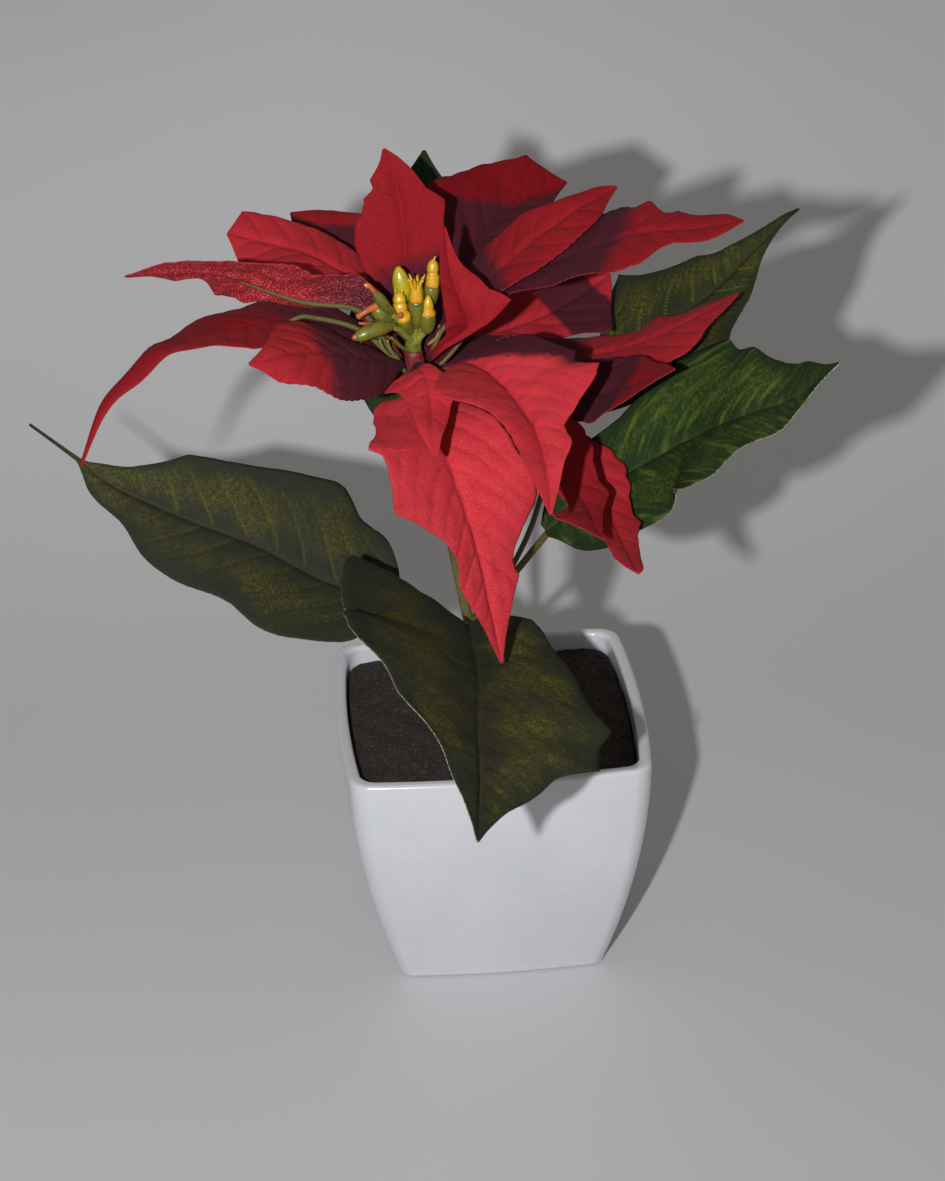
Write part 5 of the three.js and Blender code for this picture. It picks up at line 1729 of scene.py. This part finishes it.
@dataclass
class Soil:
    """Dark granular filling with loose crumbs on its surface."""

    pot: Pot
    top: float = 65.0
    lump: float = 0.6
    waves: tuple[float, float, float, float] = (3.1, 7.0, 3.7, 9.0)
    grains: tuple[tuple[float, float], tuple[float, float]] = ((0.3, 2.3), (0.16, 0.95))
    side_levels: tuple[float, ...] = (16.0, 30.0, 45.0, 56.0, 62.0)
    shoulder: float = 1.2
    rounding: float = 0.5
    hole: float = 1.75
    hole_depth: float = 8.0
    rings: int = 90
    crumbs: int = 3400
    crumb_sizes: tuple[float, float] = (0.16, 0.3)
    crumb_reach: float = 0.94
    crumb_corner: float = 1.76
    crumb_uneven: tuple[float, float] = (0.7, 1.25)
    crumb_depth: tuple[float, float] = (0.6, 1.0)
    crumb_height: tuple[float, float] = (0.55, 0.9)
    crumb_lift: float = 0.15
    clear: float = 2.6
    seed: int = 11

    def heights(self, x: np.ndarray, y: np.ndarray) -> np.ndarray:
        """Works out the uneven surface.

        Args:
            x: places.
            y: places.

        Returns:
            The surface's height there.
        """
        spot = np.stack([x, y, x * 0], -1)
        near, bend, deep, drift = self.waves
        lump = self.lump * np.sin(x / near + 2 * np.sin(y / bend)) * np.cos(y / deep + x / drift)
        (coarse, size), (fine, small) = self.grains
        grain = coarse * Grain(3).at(spot, size) + fine * Grain(4).at(spot, small)
        return self.top + 0.7 * lump + grain

    def build(self) -> list[Piece]:
        """Makes the filling and its crumbs.

        Returns:
            The two pieces.
        """
        plan = self.pot.plan()
        rounded = unit(plan)
        edge = self.pot.inside(self.top) - GAP
        bottom, deep = self.pot.floor + GAP, self.top - self.hole_depth
        body = Body()
        levels = (bottom, *self.side_levels, self.top - self.shoulder)
        rows = [level(plan * (self.pot.inside(z) - GAP), z) for z in levels]
        for share in np.linspace(1, 0, self.rings):
            flat = plan * share * edge + rounded * (1 - share) * self.hole
            rise = self.heights(flat[:, 0], flat[:, 1])
            rows.append(level(flat, rise - (self.rounding if share == 1 else 0)))
        rows.append(level(rounded * self.hole, deep))
        body.skin(rows, (0, 0, bottom), (0, 0, deep))
        finish = SoilFinish().material()
        filling = body.object("soil_filling", [finish])
        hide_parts("soil")
        return [filling, self.loose(finish, edge)]

    def loose(self, finish: Material, edge: float) -> Piece:
        """Makes the crumbs, half sunk in the surface.

        Args:
            finish: the soil's material.
            edge: half width of the surface.

        Returns:
            The piece.
        """
        draw = np.random.default_rng(self.seed)
        corners = unit(np.array(CRUMB_CORNERS, float))
        body = Body()
        for _ in range(self.crumbs):
            x, y = draw.uniform(-self.crumb_reach, self.crumb_reach, 2) * edge
            if math.hypot(x, y) < self.clear or abs(x) + abs(y) > self.crumb_corner * edge:
                continue
            size = self.crumb_sizes[0] + self.crumb_sizes[1] * draw.random() ** 3
            form = corners * size * draw.uniform(*self.crumb_uneven, (12, 1))
            form = form * np.array([1.0, draw.uniform(*self.crumb_depth), draw.uniform(*self.crumb_height)])
            angle = draw.uniform(0, 2 * math.pi)
            c, s = math.cos(angle), math.sin(angle)
            wide, deep, high = form.T
            turned = np.column_stack([wide * c - deep * s, wide * s + deep * c, high])
            rise = float(self.heights(np.array([x]), np.array([y]))[0])
            first = body.add(turned + np.array([x, y, rise + size * self.crumb_lift]))
            for side in CRUMB_SIDES:
                body.face(tuple(first + corner for corner in side), 0, False)
        piece = body.object("soil_crumbs", [finish])
        return piece


# ------------------------------------------------------------------ studio


@dataclass
class Studio:
    """Plain pale floor, one soft lamp left of the camera, even light all round."""

    eye: tuple[float, float, float] = (-0.063352, -0.820735, 0.537700)
    azimuth: float = -4.157
    elevation: float = 27.691
    level: float = -1.471
    lens: float = 103.91
    lamp_left: float = 0.1
    lamp_down: float = 0.012
    lamp_size: float = 0.018
    lamp_power: float = 2.2
    lamp_spread: float = 90.0
    lamp_aim: tuple[float, float, float] = (-0.02, 0.5, 0.12)
    lamp_tint: tuple[float, float, float] = (0.975, 0.978, 0.99)
    ambient: float = 0.243
    ambient_tint: Colour = (1.0, 0.955, 0.915, 1.0)
    floor_half: float = 3.5
    slope_from: float = 0.1
    slope_length: float = 0.66
    slope_rise: float = 0.17

    def axes(self) -> tuple[Vector, Vector, Vector]:
        """The camera's right, up and back directions.

        Returns:
            The three directions.
        """
        a, e, r = math.radians(self.azimuth), math.radians(self.elevation), math.radians(self.level)
        back = Vector((math.sin(a) * math.cos(e), -math.cos(a) * math.cos(e), math.sin(e)))
        right = Vector((math.cos(a), math.sin(a), 0))
        up = back.cross(right)
        return right * math.cos(r) + up * math.sin(r), up * math.cos(r) - right * math.sin(r), back

    def camera(self) -> None:
        """Makes the scene's camera."""
        right, up, back = self.axes()
        data = bpy.data.cameras.new("camera")
        data.sensor_fit, data.sensor_width, data.lens = "AUTO", 36.0, self.lens
        data.clip_start, data.clip_end = 0.02, 60.0
        camera = bpy.data.objects.new("camera", data)
        turn = Matrix((right, up, back)).transposed().to_4x4()
        camera.matrix_world = Matrix.Translation(Vector(self.eye)) @ turn
        bpy.context.scene.collection.objects.link(camera)
        bpy.context.scene.camera = camera

    def lamp(self) -> None:
        """Makes the lamp and the even light."""
        right, up, back = self.axes()
        data = bpy.data.lights.new("soft_lamp", "AREA")
        data.shape, data.size, data.energy = "DISK", self.lamp_size, self.lamp_power
        data.color = self.lamp_tint
        lamp = bpy.data.objects.new("soft_lamp", data)
        place = Vector(self.eye) - right * self.lamp_left - up * self.lamp_down
        data.spread = math.radians(self.lamp_spread)
        aim = Vector(self.lamp_aim) - place
        lamp.matrix_world = Matrix.Translation(place) @ aim.to_track_quat("-Z", "Y").to_matrix().to_4x4()
        bpy.context.scene.collection.objects.link(lamp)
        world = bpy.data.worlds.new("even_light")
        world.use_nodes = True
        glow = world.node_tree.nodes["Background"]
        glow.inputs["Color"].default_value = self.ambient_tint
        glow.inputs["Strength"].default_value = self.ambient
        bpy.context.scene.world = world

    def rise(self, y: float) -> float:
        """Height of the floor: flat round the pot, a gentle slope behind, then flat again."""
        share = min(max((y - self.slope_from) / self.slope_length, 0.0), 1.0)
        return self.slope_rise * (share - math.sin(2 * math.pi * share) / (2 * math.pi))

    def floor(self) -> Piece:
        """Makes the floor.

        Returns:
            The floor.
        """
        half, wide = self.floor_half, 29
        across = np.linspace(-half, half, wide)
        flat, slope = np.linspace(-half, 0.0, 12), np.linspace(0.04, 0.84, 41)
        deep = np.concatenate([flat, slope, np.linspace(1.0, half, 10)])
        points = [(float(x), float(y), self.rise(float(y))) for y in deep for x in across]
        corners = [row * wide + column for row in range(len(deep) - 1) for column in range(wide - 1)]
        faces = [(k, k + 1, k + wide + 1, k + wide) for k in corners]
        mesh = bpy.data.meshes.new("studio_floor")
        mesh.from_pydata(points, [], faces)
        mesh.materials.append(FloorFinish().material())
        for face in mesh.polygons:
            face.use_smooth = True
        sheet = bpy.data.objects.new("studio_floor", mesh)
        bpy.context.scene.collection.objects.link(sheet)
        return sheet

    def build(self) -> None:
        """Makes camera, light and floor."""
        bpy.context.scene.view_settings.view_transform = "Standard"
        self.camera()
        self.lamp()
        self.floor()


# ------------------------------------------------------------------ the whole


def report(pieces: Sequence[Piece]) -> None:
    """Logs each piece with its count of triangles.

    Args:
        pieces: the pieces.
    """
    for piece in pieces:
        triangles = sum(len(face.vertices) - 2 for face in piece.data.polygons)
        log.info("%s: %d triangles", piece.name, triangles)


def main() -> None:
    """Builds the studio and the plant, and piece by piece."""
    logging.basicConfig(level=logging.INFO, format="%(name)s %(message)s")
    Studio().build()
    pot = Pot()
    report([pot.build()])
    report(Soil(pot).build())
    report([Stem().build()])
    report(Blades().build())
    report([Flowers().build()])


if __name__ == "__main__":
    main()
